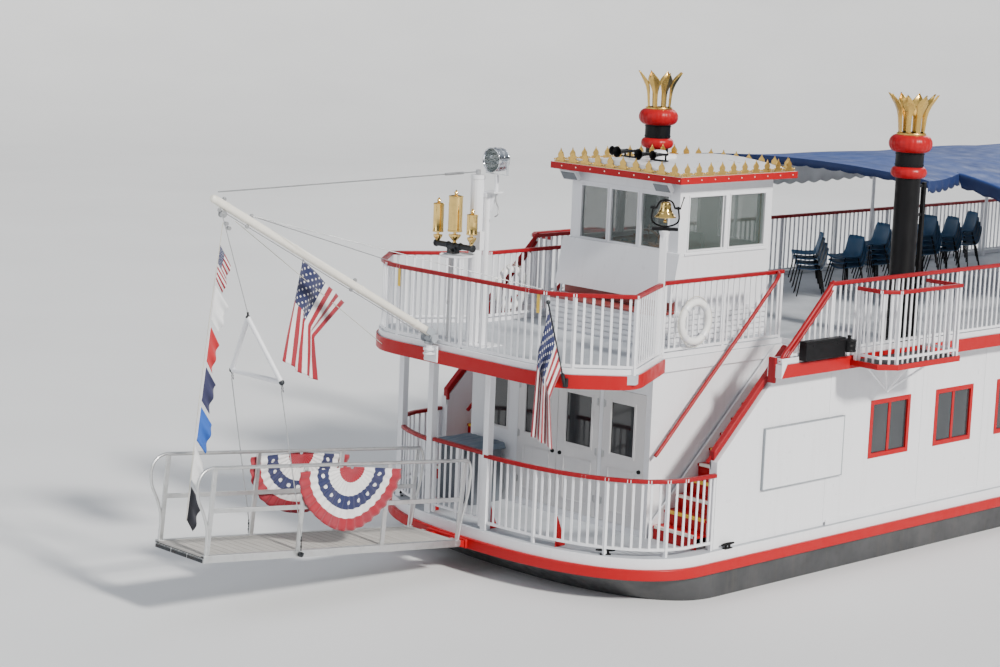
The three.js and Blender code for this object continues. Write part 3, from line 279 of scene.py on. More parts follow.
def glass(name, tint, alpha, roughness=0.03):
    n = Nodes(name)
    smear = n.band(n.noise(3.0, 4, 0.6, n.stretched(1.0, 1.0, 0.4)), 0.4, 0.8, 0.0, 0.3)
    n.link(n.mix(smear, tint, tuple(min(1.0, c + 0.06) for c in tint)), "Base Color")
    n.link(n.band(n.noise(2.0, 3), 0.3, 0.8, roughness, roughness * 4), "Roughness")
    n.material.use_backface_culling = False
    return n.set(Alpha=alpha, Specular_IOR_Level=0.8)


WINDOW = glass("cabin_glass", (0.10, 0.13, 0.12), 0.38)
DARK_WINDOW = glass("door_glass", (0.012, 0.013, 0.015), 0.97)
LENS = glass("lamp_lens", (0.20, 0.22, 0.24), 0.75)


def planks(name, colour, width, axis=0, dark=0.6):
    """Boards: grain along the board, a colour for each board and a dark joint between them."""
    n = Nodes(name)
    across = n.axes()[1 - axis]
    number = n.maths("FLOOR", n.maths("DIVIDE", across, width))
    tone = n.add("ShaderNodeTexWhiteNoise", {"W": number}, noise_dimensions="1D").outputs["Value"]
    edge = n.maths("PINGPONG", n.maths("DIVIDE", across, width), 0.5)
    joint = n.band(edge, 0.0, 0.035, 1.0, 0.0)
    lengthwise = (0.6, 14.0, 14.0) if axis == 0 else (14.0, 0.6, 14.0)
    grain = n.noise(3.0, 6, 0.65, n.stretched(*lengthwise))
    board = n.mix(n.band(tone, 0.0, 1.0, 0.0, 0.5), colour, tuple(c * dark for c in colour))
    veined = n.mix(n.band(grain, 0.4, 0.75, 0.0, 0.55), board, tuple(c * 0.5 for c in colour))
    n.link(n.mix(joint, veined, (0.03, 0.03, 0.03)), "Base Color")
    n.bump(n.maths("SUBTRACT", grain, joint), 0.002, 0.6)
    return n.set(Roughness=0.75)


WHEEL_BOARDS = painted("wheel_board_red", (0.42, 0.02, 0.02), 0.5, 0.5, coat=0.1, wear=0.06)


def cloth(name, colour, weave=700.0, second=None):
    """Woven cloth: two crossed thread waves, soft darker patches of painted shade for folds, and a sheen."""
    n = Nodes(name)
    # fold: darker patches of painted shade that stand for the folds of the cloth.
    fold = n.band(n.noise(2.4, 4), 0.3, 0.75)
    n.link(n.mix(fold, colour, second or tuple(c * 0.72 for c in colour)), "Base Color")
    warp = n.add("ShaderNodeTexWave", {"Vector": n.place, "Scale": weave, "Distortion": 0.6}).outputs["Fac"]
    weft = n.add("ShaderNodeTexWave", {"Vector": n.place, "Scale": weave, "Distortion": 0.6},
                 bands_direction="Z").outputs["Fac"]
    n.bump(n.maths("ADD", warp, weft), 0.0004, 0.4)
    return n.set(Roughness=0.78, Sheen_Weight=0.25)


LINING = cloth("canopy_lining", (0.72, 0.74, 0.78), 300.0)
ROPE = cloth("laid_rope", (0.60, 0.58, 0.50), 160.0)

# %% [markdown]
# The CAD model's rails, walls and frames keep their own meshes, so they only need a finish in place of
# their plain one. A few nodes are stood in for by finer pieces further down.

# %% Finish for the carried-over nodes


def finish_node(name, material):
    mesh = nodes[name].data
    mesh.materials.clear()
    mesh.materials.append(material)


NODE_FINISH = {
    WHITE: ["main_rail_port", "main_rail_starboard", "bow_gate", "deckhouse_front", "deckhouse_port",
            "deckhouse_starboard", "deckhouse_aft", "foredeck_rail", "aft_deck_rail", "pilothouse_base",
            "pilothouse_front", "pilothouse_port", "pilothouse_starboard", "pilothouse_aft",
            "pilothouse_door",
            "pilothouse_roof", "wing_port", "wing_starboard", "canopy_frame", "mast", "hoist_spreader",
            "wheel_beam_port", "wheel_beam_starboard", "aft_door"],
    DOOR_WHITE: ["front_door_starboard", "front_door_port", "front_door_port_outer"],
    DECK: ["upper_deck"],
    DARK_LID: ["foredeck_locker"],
    BLACK: ["equipment_box"],
    RED: ["rudder_port", "rudder_starboard"],
}
for finish, names in NODE_FINISH.items():
    for node_name in names:
        finish_node(node_name, finish)

# %% [markdown]
# New pieces are modelled with bmesh operators. A few helpers cover most of them: a box, a rod between two
# points, a turned shape spun from its profile, a flat plate extruded from an outline, and a tube bent
# through points. Each one adds to a bmesh, so that a piece with many members is still one mesh.

# %% Modelling helpers
QUARTER_X, QUARTER_Y = Matrix.Rotation(math.pi / 2, 4, "X"), Matrix.Rotation(math.pi / 2, 4, "Y")


def box(bm, low, high, matrix=None):
    size = Matrix.Diagonal((*(h - l for l, h in zip(low, high)), 1))
    middle = Matrix.Translation([(l + h) / 2 for l, h in zip(low, high)])
    placed = (matrix or Matrix()) @ middle @ size
    return bmesh.ops.create_cube(bm, size=1, matrix=placed)["verts"]


def mirror_across(side, *shapes):
    """Turns shapes made for the port side into those of the given side."""
    for shape in shapes:
        bmesh.ops.scale(shape, vec=(1, side, 1), verts=shape.verts)


def round_section(reach, across, along, steps):
    """Closed profile of a ring: an ellipse whose centre stands at reach."""
    angles = [2 * math.pi * k / steps for k in range(steps + 1)]
    return [(reach + across * math.cos(a), along * math.sin(a)) for a in angles]


def side_box(bm, side, low, high, matrix=None):
    """A box given for the port side, and mirrored for the starboard one."""
    y_low, y_high = sorted((side * low[1], side * high[1]))
    return box(bm, (low[0], y_low, low[2]), (high[0], y_high, high[2]), matrix)


def rod(bm, start, end, radius, sides=12, matrix=None):
    """A round bar from start to end, both placed by the matrix if there is one."""
    start, end = ((matrix or Matrix()) @ Vector(point) for point in (start, end))
    along = end - start
    turn = along.to_track_quat("Z", "Y").to_matrix().to_4x4()
    place = Matrix.Translation((start + end) / 2) @ turn
    bmesh.ops.create_cone(bm, cap_ends=True, segments=sides, radius1=radius, radius2=radius,
                          depth=along.length, matrix=place)


def crossbar(bm, centre, half, radius, sides=12):
    """A round bar along Y, half its length to each side of the centre."""
    x, y, z = centre
    rod(bm, (x, y - half, z), (x, y + half, z), radius, sides)


def ball(bm, centre, radius, segments=16):
    bmesh.ops.create_uvsphere(bm, u_segments=segments, v_segments=segments // 2, radius=radius,
                              matrix=Matrix.Translation(centre))


def spun(bm, profile, steps=32, matrix=None):
    """Spins a profile of (radius, height) about Z, then puts the shape where the matrix says."""
    verts = [bm.verts.new((r, 0, h)) for r, h in profile]
    edges = [bm.edges.new(pair) for pair in zip(verts, verts[1:])]
    made = bmesh.ops.spin(bm, geom=verts + edges, cent=(0, 0, 0), axis=(0, 0, 1), angle=2 * math.pi,
                          steps=steps,
                          use_merge=True)
    shape = set(verts) | {g for g in made["geom_last"] if isinstance(g, bmesh.types.BMVert)}
    seen, todo = set(shape), list(shape)
    while todo:
        for edge in todo.pop().link_edges:
            for vert in edge.verts:
                if vert not in seen:
                    seen.add(vert)
                    todo.append(vert)
    bmesh.ops.transform(bm, matrix=matrix or Matrix(), verts=list(seen))
    return list(seen)


def plate(bm, outline, depth, matrix=None):
    """A flat outline in X and Y, raised by depth along Z, then placed by the matrix."""
    face = bm.faces.new([bm.verts.new((x, y, 0)) for x, y in outline])
    raised = bmesh.ops.extrude_face_region(bm, geom=[face])["geom"]
    top = [g for g in raised if isinstance(g, bmesh.types.BMVert)]
    bmesh.ops.translate(bm, vec=(0, 0, depth), verts=top)
    everything = list(face.verts) + top
    bmesh.ops.transform(bm, matrix=matrix or Matrix(), verts=everything)
    return everything


def piece(name, bm, material, body, bevel=0.0, smooth=None, segments=2):
    """Makes an object of a bmesh, with its normals outwards, and lets it ride on a body."""
    bmesh.ops.remove_doubles(bm, verts=bm.verts, dist=1e-5)
    bmesh.ops.recalc_face_normals(bm, faces=bm.faces)
    mesh = bpy.data.meshes.new(name)
    bm.to_mesh(mesh)
    bm.free()
    for m in material if isinstance(material, list) else [material]:
        mesh.materials.append(m)
    obj = shown(name, mesh)
    if bevel:
        edge = obj.modifiers.new("edge", "BEVEL")
        edge.width = bevel
        edge.segments = segments
        edge.limit_method = "ANGLE"
        edge.angle_limit = math.radians(40)
        edge.harden_normals = False
    if smooth is not None:
        with bpy.context.temp_override(object=obj, active_object=obj, selected_objects=[obj],
                                       selected_editable_objects=[obj]):
            bpy.ops.object.shade_smooth_by_angle(angle=math.radians(smooth))
    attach(obj, body)
    print(name, len(mesh.polygons), "faces")
    return obj


def thicken(obj, thickness, **values):
    """Gives a surface its thickness."""
    thick = obj.modifiers.new("thick", "SOLIDIFY")
    thick.thickness = thickness
    for key, value in values.items():
        setattr(thick, key, value)


def tube(name, runs, radius, material, body, resolution=4, smooth_path=True):
    """Round tubes bent through the points of each run, as one mesh; with no body it is left unattached."""
    curve = bpy.data.curves.new(name, "CURVE")
    curve.dimensions = "3D"
    curve.bevel_depth = radius
    curve.bevel_resolution = resolution
    curve.resolution_u = 6
    curve.use_fill_caps = True
    for points in runs:
        spline = curve.splines.new("BEZIER" if smooth_path else "POLY")
        line = spline.bezier_points if smooth_path else spline.points
        line.add(len(points) - 1)
        for point, place in zip(line, points):
            if smooth_path:
                point.co = place
                point.handle_left_type = point.handle_right_type = "AUTO"
            else:
                point.co = (*place, 1)
    holder = shown(name, curve)
    mesh = bpy.data.meshes.new_from_object(holder.evaluated_get(bpy.context.evaluated_depsgraph_get()))
    bpy.data.objects.remove(holder)
    mesh.materials.clear()
    mesh.materials.append(material)
    mesh.shade_smooth()
    obj = shown(name, mesh)
    if body:
        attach(obj, body)
    return obj

# %% [markdown]
# The hull is a flat-bottomed box with a raked, rounded bow. In plan the bow is a superellipse, which is
# fuller than a plain ellipse. The outline is drawn once, extruded down in steps, and each lower ring is
# drawn back to give the rake. Only the white band, the red guard and the side above the water show; that
# side is painted near-black, a painted shade for the shadow under the guard and the deck's overhang.

# %% Hull
DECK_Z, UPPER_Z = 1.25, 3.77
STERN_X, BOW_X, BOW_REACH, HALF_BEAM, BOW_POWER = -9.0, 7.4, 1.63, 2.85, 2.4


def bow_round(inset, steps):
    """Port half of the bow in plan, from the shoulder to the stem."""
    angles = [math.pi / 2 * (1 - i / steps) for i in range(steps + 1)]
    return [(BOW_X + (BOW_REACH - inset) * max(0.0, math.cos(a)) ** (2 / BOW_POWER),
             (HALF_BEAM - inset) * max(0.0, math.sin(a)) ** (2 / BOW_POWER)) for a in angles]


def deck_outline(inset, steps=28):
    port = [(STERN_X + inset, HALF_BEAM - inset)] + bow_round(inset, steps)
    return port + [(x, -y) for x, y in reversed(port[:-1])]


def rake_ring(verts, z, bow, stern):
    for vert in verts:
        vert.co.z = z
        if vert.co.x > BOW_X - 1.5:
            vert.co.x = (BOW_X - 1.5) + (vert.co.x - BOW_X + 1.5) * (bow - BOW_X + 1.5) / (BOW_REACH + 1.5)
        elif vert.co.x < STERN_X + 0.2:
            vert.co.x = stern


bm = bmesh.new()
top_face = bm.faces.new([bm.verts.new((x, y, DECK_Z)) for x, y in deck_outline(0)])
top_face.material_index = 2
rim, lower = top_face, [(1.0, 9.03, -9.0, 1), (0.52, 8.30, -9.0, 0), (0.33, 7.95, -8.7, 0),
                        (0.0, 6.95, -7.5, 0)]
for z, bow, stern, finish_index in lower:
    before = set(bm.faces)
    made = bmesh.ops.extrude_face_region(bm, geom=[rim], use_keep_orig=(rim is top_face))["geom"]
    verts = [g for g in made if isinstance(g, bmesh.types.BMVert)]
    new_rim = next(g for g in made if isinstance(g, bmesh.types.BMFace))
    rake_ring(verts, z, bow, stern)
    for face in set(bm.faces) - before - {new_rim}:
        face.material_index = finish_index
    rim = new_rim
rim.material_index = 0
for y in (-1.0, 1.0):
    for side in (-0.056, 0.056):
        box(bm, (-9.24, y + side - 0.014, 0.855), (-8.98, y + side + 0.014, 0.925))
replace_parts(piece("hull_shell", bm, [HULL_SHADE, WHITE, DECK], "boat", smooth=30), "hull")

# %% [markdown]
# A red rubbing guard runs round the edge of the main deck. On the real boat it is a bent plate with a
# rounded face, so it is a flat ring with its outer edges bevelled. The ears that carry the landing stage
# are welded to it at the bow.

# %% Guard and stage hinge
HINGE_X, HINGE_Z, STAGE_Y = 9.26, 1.075, -0.475


def ring(bm, outline, low, high, wall):
    """An upright band that follows an outline, as a solid wall of that thickness."""
    base = [bm.verts.new((x, y, low)) for x, y in outline]
    edges = [bm.edges.new((a, b)) for a, b in zip(base, base[1:] + base[:1])]
    made = bmesh.ops.extrude_edge_only(bm, edges=edges)["geom"]
    top = [g for g in made if isinstance(g, bmesh.types.BMVert)]
    bmesh.ops.translate(bm, vec=(0, 0, high - low), verts=top)
    faces = [g for g in made if isinstance(g, bmesh.types.BMFace)]
    bmesh.ops.recalc_face_normals(bm, faces=faces)
    return bmesh.ops.solidify(bm, geom=faces, thickness=wall)


bm = bmesh.new()
ring(bm, deck_outline(-0.055), 0.955, 1.105, 0.06)
box(bm, (9.03, STAGE_Y - 0.42, 0.96), (9.12, STAGE_Y + 0.42, 1.09))
for ear in (-0.37, -0.23, 0.23, 0.37):
    outline = [(9.09, 0.965), (9.25, 1.0), (9.29, 1.04), (9.295, 1.08), (9.275, 1.105), (9.235, 1.105),
               (9.09, 1.06)]
    stand = Matrix.Translation((0, STAGE_Y + ear + 0.02, 0)) @ QUARTER_X
    plate(bm, outline, 0.04, stand)
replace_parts(piece("guard_band", bm, RED, "boat", bevel=0.012, smooth=30), "main_guard")
bm = bmesh.new()
for ear in (-0.3, 0.3):
    crossbar(bm, (HINGE_X, STAGE_Y + ear, HINGE_Z), 0.115, 0.016, 16)
    for end in (-0.12, 0.12):
        crossbar(bm, (HINGE_X, STAGE_Y + ear + end, HINGE_Z), 0.008, 0.028, 6)
piece("stage_hinge_pins", bm, IRON, "boat", bevel=0.002, smooth=30)

# %% [markdown]
# The upper deck has a red fascia below a white coaming. The fascia bends in flat lengths at the corners of
# the fan shaped foredeck, with the corners eased. It is drawn as the deck's own outline, moved outwards,
# and the coaming stands on the deck just inside the rail, with a small gap under it where water drains.
# Inside the stairwells the band is white, like the wall below it.

# %% Upper deck edges
FORE_HALF = [(9.47, 1.3), (9.43, 1.6), (9.22, 1.96), (8.57, 2.51), (7.64, 2.01), (7.25, 1.8), (4.70, 1.8),
             (4.70, 2.8),
             (6.15, 2.8), (6.15, 3.0)]
UPPER_OUTLINE = FORE_HALF + [(-8.7, 3.0), (-8.7, -3.0)] + [(x, -y) for x, y in reversed(FORE_HALF)]


def grown(points, distance):
    """Moves each side of a closed outline outwards."""
    out = []
    for i, point in enumerate(points):
        before, after = Vector(points[i - 1]), Vector(points[(i + 1) % len(points)])
        here = Vector(point)
        n = (here - before).normalized().orthogonal() * -1
        m = (after - here).normalized().orthogonal() * -1
        out.append(tuple(here + (n + m) * (distance / (1 + n.dot(m)))))
    return out


def eased(points, corner, steps=5, only=None):
    """Rounds the corners of an outline, each with a short curve."""
    out = []
    for i, point in enumerate(points):
        here, before, after = Vector(point), Vector(points[i - 1]), Vector(points[(i + 1) % len(points)])
        if only and not only(here):
            out.append(tuple(here))
            continue
        reach = min(corner, (before - here).length * 0.45, (after - here).length * 0.45)
        a, b = here + (before - here).normalized() * reach, here + (after - here).normalized() * reach
        for k in range(steps + 1):
            t = k / steps
            out.append(tuple(a * (1 - t) ** 2 + here * 2 * t * (1 - t) + b * t ** 2))
    return out


fore_only = lambda p: p.x > 7.3
fascia_line = eased(grown(UPPER_OUTLINE, 0.029), 0.3, only=fore_only)
bm = bmesh.new()
ring(bm, fascia_line, UPPER_Z - 0.19, UPPER_Z - 0.002, 0.024)
for face in bm.faces:
    middle = face.calc_center_median()
    face.material_index = int(4.6 < middle.x < 7.26 and 1.7 < abs(middle.y) < 2.95)
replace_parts(piece("fascia_band", bm, [RED, WHITE], "boat", bevel=0.004, smooth=25),
            "upper_fascia")
bm = bmesh.new()
ring(bm, eased(grown(UPPER_OUTLINE, -0.006), 0.25, only=fore_only), UPPER_Z + 0.001, UPPER_Z + 0.078, 0.022)
piece("deck_coaming", bm, WHITE, "boat", bevel=0.005, smooth=25)

# %% [markdown]
# The floor is a pale plane at the waterline: the boat is shown as it floats, with the part of the hull
# under water below the plane. It is a large disc with a faint drift in its tone, and far behind the boat it
# sweeps up like a studio backdrop, so that no edge shows.

# %% Floor
n = Nodes("pale_floor")
n.link(n.mix(n.band(n.noise(0.15, 3), 0.3, 0.7), (0.71, 0.72, 0.73), (0.75, 0.76, 0.77)), "Base Color")
n.link(n.band(n.noise(0.4, 3), 0.3, 0.7, 0.55, 0.75), "Roughness")
n.bump(n.noise(3.0, 3), 0.001, 0.2)
bm = bmesh.new()
sweep = [(0.0, WATERLINE), (60.0, WATERLINE)]
sweep += [(60 + 80 * math.sin(a),
           WATERLINE + 80 * (1 - math.cos(a))) for a in (0.06 * k for k in range(1, 15))]
spun(bm, sweep, 96)
floor_mesh = bpy.data.meshes.new("floor")
bm.to_mesh(floor_mesh)
bm.free()
floor_mesh.materials.append(n.material)
floor_mesh.shade_smooth()
floor = shown("floor", floor_mesh)

# %% [markdown]
# Every open edge has the same passenger rail: flat white pickets between a bottom bar and a cap, with the
# cap painted red. The CAD model holds the cap, bar and main posts. Here each cap gets its painted bar,
# which sleeves the CAD one, and the thin pickets are set at 12 cm along the same lines. One walk along a
# line gives a place and a heading for each picket, so the spacing stays even round the bends.

# %% Rail caps and pickets
RAIL_UP, PICKET_STEP = 1.07, 0.122


def flipped(points):
    return [(x, -y) for x, y in points]


def strip(bm, line, width, low, high):
    """A flat bar along a line of the plan, mitred at its corners and a little longer at both ends."""
    left, right = [], []
    for i, point in enumerate(line):
        here = Vector(point)
        ahead = (Vector(line[i + 1]) - here).normalized() if i + 1 < len(line) else None
        behind = (here - Vector(line[i - 1])).normalized() if i else None
        first, last = behind or ahead, ahead or behind
        side = (first + last).normalized().orthogonal()
        reach = width / 2 / max(0.5, side.dot(first.orthogonal()))
        end = (-first if behind is None else last if ahead is None else Vector((0, 0))) * width / 2
        left.append(here + side * reach + end)
        right.append(here - side * reach + end)
    plate(bm, [*left, *reversed(right)], high - low, Matrix.Translation((0, 0, low)))


def walk(line, step):
    """Even places along a line, each with its heading."""
    left_over = step / 2
    for start, end in zip(line, line[1:]):
        start, end = Vector(start), Vector(end)
        length = (end - start).length
        heading = math.atan2(end.y - start.y, end.x - start.x)
        while left_over < length:
            place = start.lerp(end, left_over / length)
            yield place.x, place.y, heading
            left_over += step
        left_over -= length


def rail_dress(name, lines, deck, body, low=0.10):
    cap, bars = bmesh.new(), bmesh.new()
    top = deck + RAIL_UP
    count = 0
    for line in lines:
        strip(cap, line, 0.067, top - 0.049, top + 0.006)
        for x, y, heading in walk(line, PICKET_STEP):
            turn = Matrix.Translation((x, y, 0)) @ Matrix.Rotation(heading, 4, "Z")
            box(bars, (-0.017, -0.009, deck + low), (0.017, 0.009, top - 0.04), turn)
            count += 1
    print(name, count, "pickets")
    piece(name + "_cap", cap, RAIL_RED, body, bevel=0.010, smooth=40, segments=3)
    piece(name + "_pickets", bars, WHITE, body, bevel=0.003, segments=1)


BOW_RAIL = bow_round(0.075, 10)[1:]
port_line = [(7.19, 2.775)] + [(x, y) for x, y in BOW_RAIL if x > 7.29 and y > 0.33] + [(8.9546, 0.13)]
starboard_line = [(7.19, 2.775)] + [(x, y) for x, y in BOW_RAIL if x > 7.29 and y > 1.29] + [(8.884, 1.09)]
FORE_RAIL = [(4.73, 1.75), (7.24, 1.75), (7.65, 1.96), (8.56, 2.45), (9.18, 1.92), (9.38, 1.58),
             (9.42, 1.29)]
AFT_RAIL = [(5.07, 2.95), (-8.65, 2.95), (-8.65, -2.95), (5.07, -2.95)]
WING_RAIL = [(4.62, 3.0904), (4.62, 3.48), (4.41, 3.645), (2.985, 3.645), (2.985, 3.0904)]
rail_dress("main_rail", [port_line, flipped(starboard_line)], DECK_Z, "boat")
rail_dress("bow_gate_rail", [[(8.9346, 0.03), (8.894, -0.995)]], DECK_Z + 0.03, "bow_gate_leaf")
rail_dress("fore_rail", [FORE_RAIL + flipped(reversed(FORE_RAIL))], UPPER_Z, "boat")
rail_dress("aft_rail", [AFT_RAIL], UPPER_Z, "boat")
rail_dress("wing_rails", [WING_RAIL, flipped(WING_RAIL)], UPPER_Z - 0.08, "boat", low=0.02)

# %% [markdown]
# The two small wings are chequered steel plates, dark from wear, with a thin red edge along their three
# outer sides.

# %% Wing floors
WING = [(4.64, 3.04), (4.64, 3.496), (4.416, 3.67), (2.96, 3.67), (2.96, 3.04)]
WING_EDGE = [(4.656, 3.038), (4.656, 3.503), (4.422, 3.686), (2.944, 3.686), (2.944, 3.038)]
floors, edges = bmesh.new(), bmesh.new()
for line, edge in ((WING, WING_EDGE), (flipped(reversed(WING)), flipped(WING_EDGE))):
    plate(floors, line, 0.008, Matrix.Translation((0, 0, 3.6985)))
    strip(edges, edge, 0.014, 3.632, 3.714)
piece("wing_floors", floors, WING_DECK, "boat")
piece("wing_edges", edges, RED, "boat", bevel=0.003)

# %% [markdown]
# The outside stairs climb between the narrow part of the deckhouse and a solid bulwark. Treads and risers
# are red, the nosings are yellow and white in turn, and the bulwark carries a red cap on its inner half.
# Each handrail is a tube bent down at its foot. At the deck's edge a doubled tube slopes up from the fascia
# to the cap of the aft rail, with pickets below it, and an upright red plate closes the end of the fascia.

# %% Stairs
STAIR = {"foot": 7.36, "head": 4.732, "inner": 1.86, "outer": 2.66, "risers": 13}
RISE = (UPPER_Z - DECK_Z) / STAIR["risers"]
GOING = 2.66 / (STAIR["risers"] - 1)


def nosing(x):
    return DECK_Z + (STAIR["foot"] - x) * (UPPER_Z - DECK_Z) / 2.66


def side_plate(bm, outline, y_low, y_high):
    """A flat outline in X and Z, between two values of Y."""
    stand = Matrix.Translation((0, y_high, 0)) @ QUARTER_X
    plate(bm, outline, y_high - y_low, stand)


def slope_z(x):
    """Height of the sloped rail between the fascia and the aft rail's cap."""
    return 4.8175 + (x - 5.07) * (3.861 - 4.8175) / (6.08 - 5.07)


for name, side in (("port", 1), ("starboard", -1)):
    body_bm, steps, edges, caps = bmesh.new(), bmesh.new(), bmesh.new(), bmesh.new()
    top = nosing(7.15) + 1.03
    side_plate(body_bm, [(7.15, 1.252), (7.15, top), (5.99, 3.574), (4.735, 3.574), (4.735, 1.252)], 2.65,
               2.79)
    side_plate(body_bm,
               [(7.42, 1.252), (7.42, 1.46), (4.92, 3.77), (4.735, 3.77), (4.735, 3.47), (7.03, 1.252)],
               1.834, 1.868)
    for i in range(STAIR["risers"] - 1):
        x, z = STAIR["foot"] - i * GOING, DECK_Z + (i + 1) * RISE
        back = max(x - GOING - 0.01, STAIR["head"])
        box(steps, (back, 1.86, z - 0.036), (x + 0.018, 2.66, z))
        box(steps, (x - 0.014, 1.86, z - RISE), (x, 2.66, z - 0.03))
        box(edges, (x - 0.035, 1.90, z - 0.034), (x + 0.022, 2.62, z + 0.004))
        for face in list(edges.faces)[-6:]:
            face.material_index = i % 2
    side_plate(caps,
               [(7.158, nosing(7.158) + 1.05), (5.73, nosing(5.73) + 1.05), (5.73, nosing(5.73) + 1.175),
                      (7.158, nosing(7.158) + 1.175)], 2.643, 2.735)
    side_plate(body_bm,
               [(6.13, 3.42), (6.09, nosing(6.09) + 1.06), (5.75, nosing(5.75) + 1.06), (5.75, 3.56)], 2.65,
               2.80)
    side_plate(body_bm, [(6.196, 3.57), (6.196, 3.82), (6.06, 3.82)], 3.028, 3.042)
    box(caps, (6.150, 2.79, 3.50), (6.196, 2.915, 3.86))
    mirror_across(side, body_bm, steps, edges, caps)
    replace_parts(piece(f"stair_{name}_sides", body_bm, WHITE, "boat", bevel=0.006),
                f"stair_{name}")
    piece(f"stair_{name}_steps", steps, RED, "boat", bevel=0.004)
    piece(f"stair_{name}_nosings", edges, [CREAM, YELLOW], "boat", bevel=0.003)
    piece(f"stair_{name}_cap", caps, RAIL_RED, "boat", bevel=0.012, segments=3, smooth=40)
    rail_z = lambda x, up=1.09: nosing(x) + up
    inner = [(7.43, 1.90, 2.44), (7.38, 1.90, rail_z(7.38, 1.25)), (6.9, 1.90, rail_z(6.9, 1.25)),
             (5.2, 1.90, rail_z(5.2, 1.25)), (4.95, 1.88, rail_z(4.95, 1.25)), (4.86, 1.80, 4.815)]
    outer = [(7.17, 2.62, 2.46), (7.12, 2.67, rail_z(7.12)), (6.7, 2.67, rail_z(6.7)),
             (6.1, 2.67, rail_z(6.1)),
             (6.02, 2.67, rail_z(6.02)), (6.0, 2.68, rail_z(6.02) - 0.08)]
    upper = [(6.12, 2.95, 3.79), (6.08, 2.95, slope_z(6.08) + 0.01), (5.9, 2.95, slope_z(5.9)),
             (5.2, 2.95, slope_z(5.2)), (5.09, 2.95, slope_z(5.09)), (5.04, 2.95, 4.84)]
    lower = [(6.02, 2.95, 3.79), (5.97, 2.95, slope_z(5.97) - 0.10), (5.8, 2.95, slope_z(5.8) - 0.10),
             (5.2, 2.95, slope_z(5.2) - 0.10), (5.12, 2.95, slope_z(5.12) - 0.10), (5.07, 2.95, 4.73)]
    mirror = lambda run: [(x, y * side, z) for x, y, z in run]
    tube(f"stair_{name}_handrails", [mirror(inner), mirror(outer)], 0.028, RAIL_RED, "boat")
    tube(f"stair_{name}_sloped_rail", [mirror(upper)], 0.034, RAIL_RED, "boat")
    tube(f"stair_{name}_lower_rail", [mirror(lower)], 0.026, RAIL_RED, "boat")
    brackets, posts = [], bmesh.new()
    for x in (7.1, 6.35, 5.6):
        z = rail_z(x, 1.25)
        brackets.append([(x, 1.90 * side, z - 0.015), (x, 1.88 * side, z - 0.07),
                         (x, 1.805 * side, z - 0.08)])
    tube(f"stair_{name}_brackets", brackets, 0.008, RAIL_RED, "boat")
    for x in (5.17, 5.29, 5.41, 5.53, 5.65, 5.77, 5.89):
        box(posts, (x - 0.017, 2.941, 3.775), (x + 0.017, 2.959, slope_z(x) - 0.09))
    box(posts, (5.05, 2.93, 3.775), (5.09, 2.97, 4.80))
    box(posts, (5.09, 2.938, 3.86), (5.94, 2.962, 3.895))
    box(posts, (7.11, 2.655, 2.36), (7.15, 2.68, 2.50))
    mirror_across(side, posts)
    piece(f"stair_{name}_posts", posts, WHITE, "boat", bevel=0.004)

# %% [markdown]
# Windows are openings in the CAD walls. Each gets a frame that laps over the wall on both sides, as a
# clamp-in window does, and a pane in the middle. Frames are four bars and any bars between panes, so one
# helper makes windows that face along X or along Y.

# %% Windows
PILOT_PANE, DOOR_PANE, SIDE_PANE = (5.11, 5.89), (2.32, 3.08), (2.15, 2.95)
WOOD = planks("varnished_wood", (0.33, 0.15, 0.055), 0.16, axis=0, dark=0.75)


def window(frames, panes, facing, wall, a0, a1, z0, z1, bars=(), trim=0.04, proud=0.012):
    """Frame and pane of an opening; wall is its (low, high) place along the facing axis."""
    def put(bm, a_low, a_high, d_low, d_high, low, high):
        if facing == "x":
            box(bm, (d_low, a_low, low), (d_high, a_high, high))
        else:
            box(bm, (a_low, d_low, low), (a_high, d_high, high))

    back, front = wall[0] - proud, wall[1] + proud
    lap = trim * 0.5
    put(frames, a0 - lap, a0 + lap, back, front, z0 - lap, z1 + lap)
    put(frames, a1 - lap, a1 + lap, back, front, z0 - lap, z1 + lap)
    put(frames, a0 - lap, a1 + lap, back + 0.002, front - 0.002, z0 - lap, z0 + lap)
    put(frames, a0 - lap, a1 + lap, back + 0.002, front - 0.002, z1 - lap, z1 + lap)
    middle = (wall[0] + wall[1]) / 2
    for a in bars:
        put(frames, a - lap * 0.8, a + lap * 0.8, middle - 0.014, middle + 0.014, z0, z1)
    put(panes, a0 + lap * 0.5, a1 - lap * 0.5, middle - 0.003, middle + 0.003, z0 + lap * 0.5,
        z1 - lap * 0.5)


frames, panes = bmesh.new(), bmesh.new()
for y in (-0.6, 0.0, 0.6):
    window(frames, panes, "x", (6.20, 6.25), y - 0.27, y + 0.27, *PILOT_PANE, trim=0.022)
for side in (1, -1):
    wall = sorted((side * 1.02, side * 1.07))
    window(frames, panes, "y", wall, 4.36, 5.16, *PILOT_PANE, trim=0.024)
    window(frames, panes, "y", wall, 5.25, 6.05, *PILOT_PANE, bars=(5.29,), trim=0.024)
    box(frames, (4.30, min(side * 1.066, side * 1.090), 5.045),
        (6.11, max(side * 1.066, side * 1.090), 5.075))
window(frames, panes, "x", (4.21, 4.26), 0.08, 0.85, *PILOT_PANE, trim=0.024)
box(frames, (6.246, -0.93, 5.92), (6.262, 0.93, 5.95))
piece("pilothouse_frames", frames, WHITE, "boat", bevel=0.004)
piece("pilothouse_glass", panes, WINDOW, "boat")
frames, panes = bmesh.new(), bmesh.new()
window(frames, panes, "x", (4.208, 4.248), -0.744, -0.316, *PILOT_PANE, trim=0.05, proud=0.006)
piece("pilothouse_door_frame", frames, ALUMINIUM, "pilothouse_leaf", bevel=0.003)
piece("pilothouse_door_glass", panes, WINDOW, "pilothouse_leaf")

# %% [markdown]
# The deckhouse front has four tall dark windows: three in its doors and a fixed one over the locker. Each
# door carries its own frame, glass, hinges and knob, so that they swing with it. The hinges' barrels stand
# at each leaf's edge.

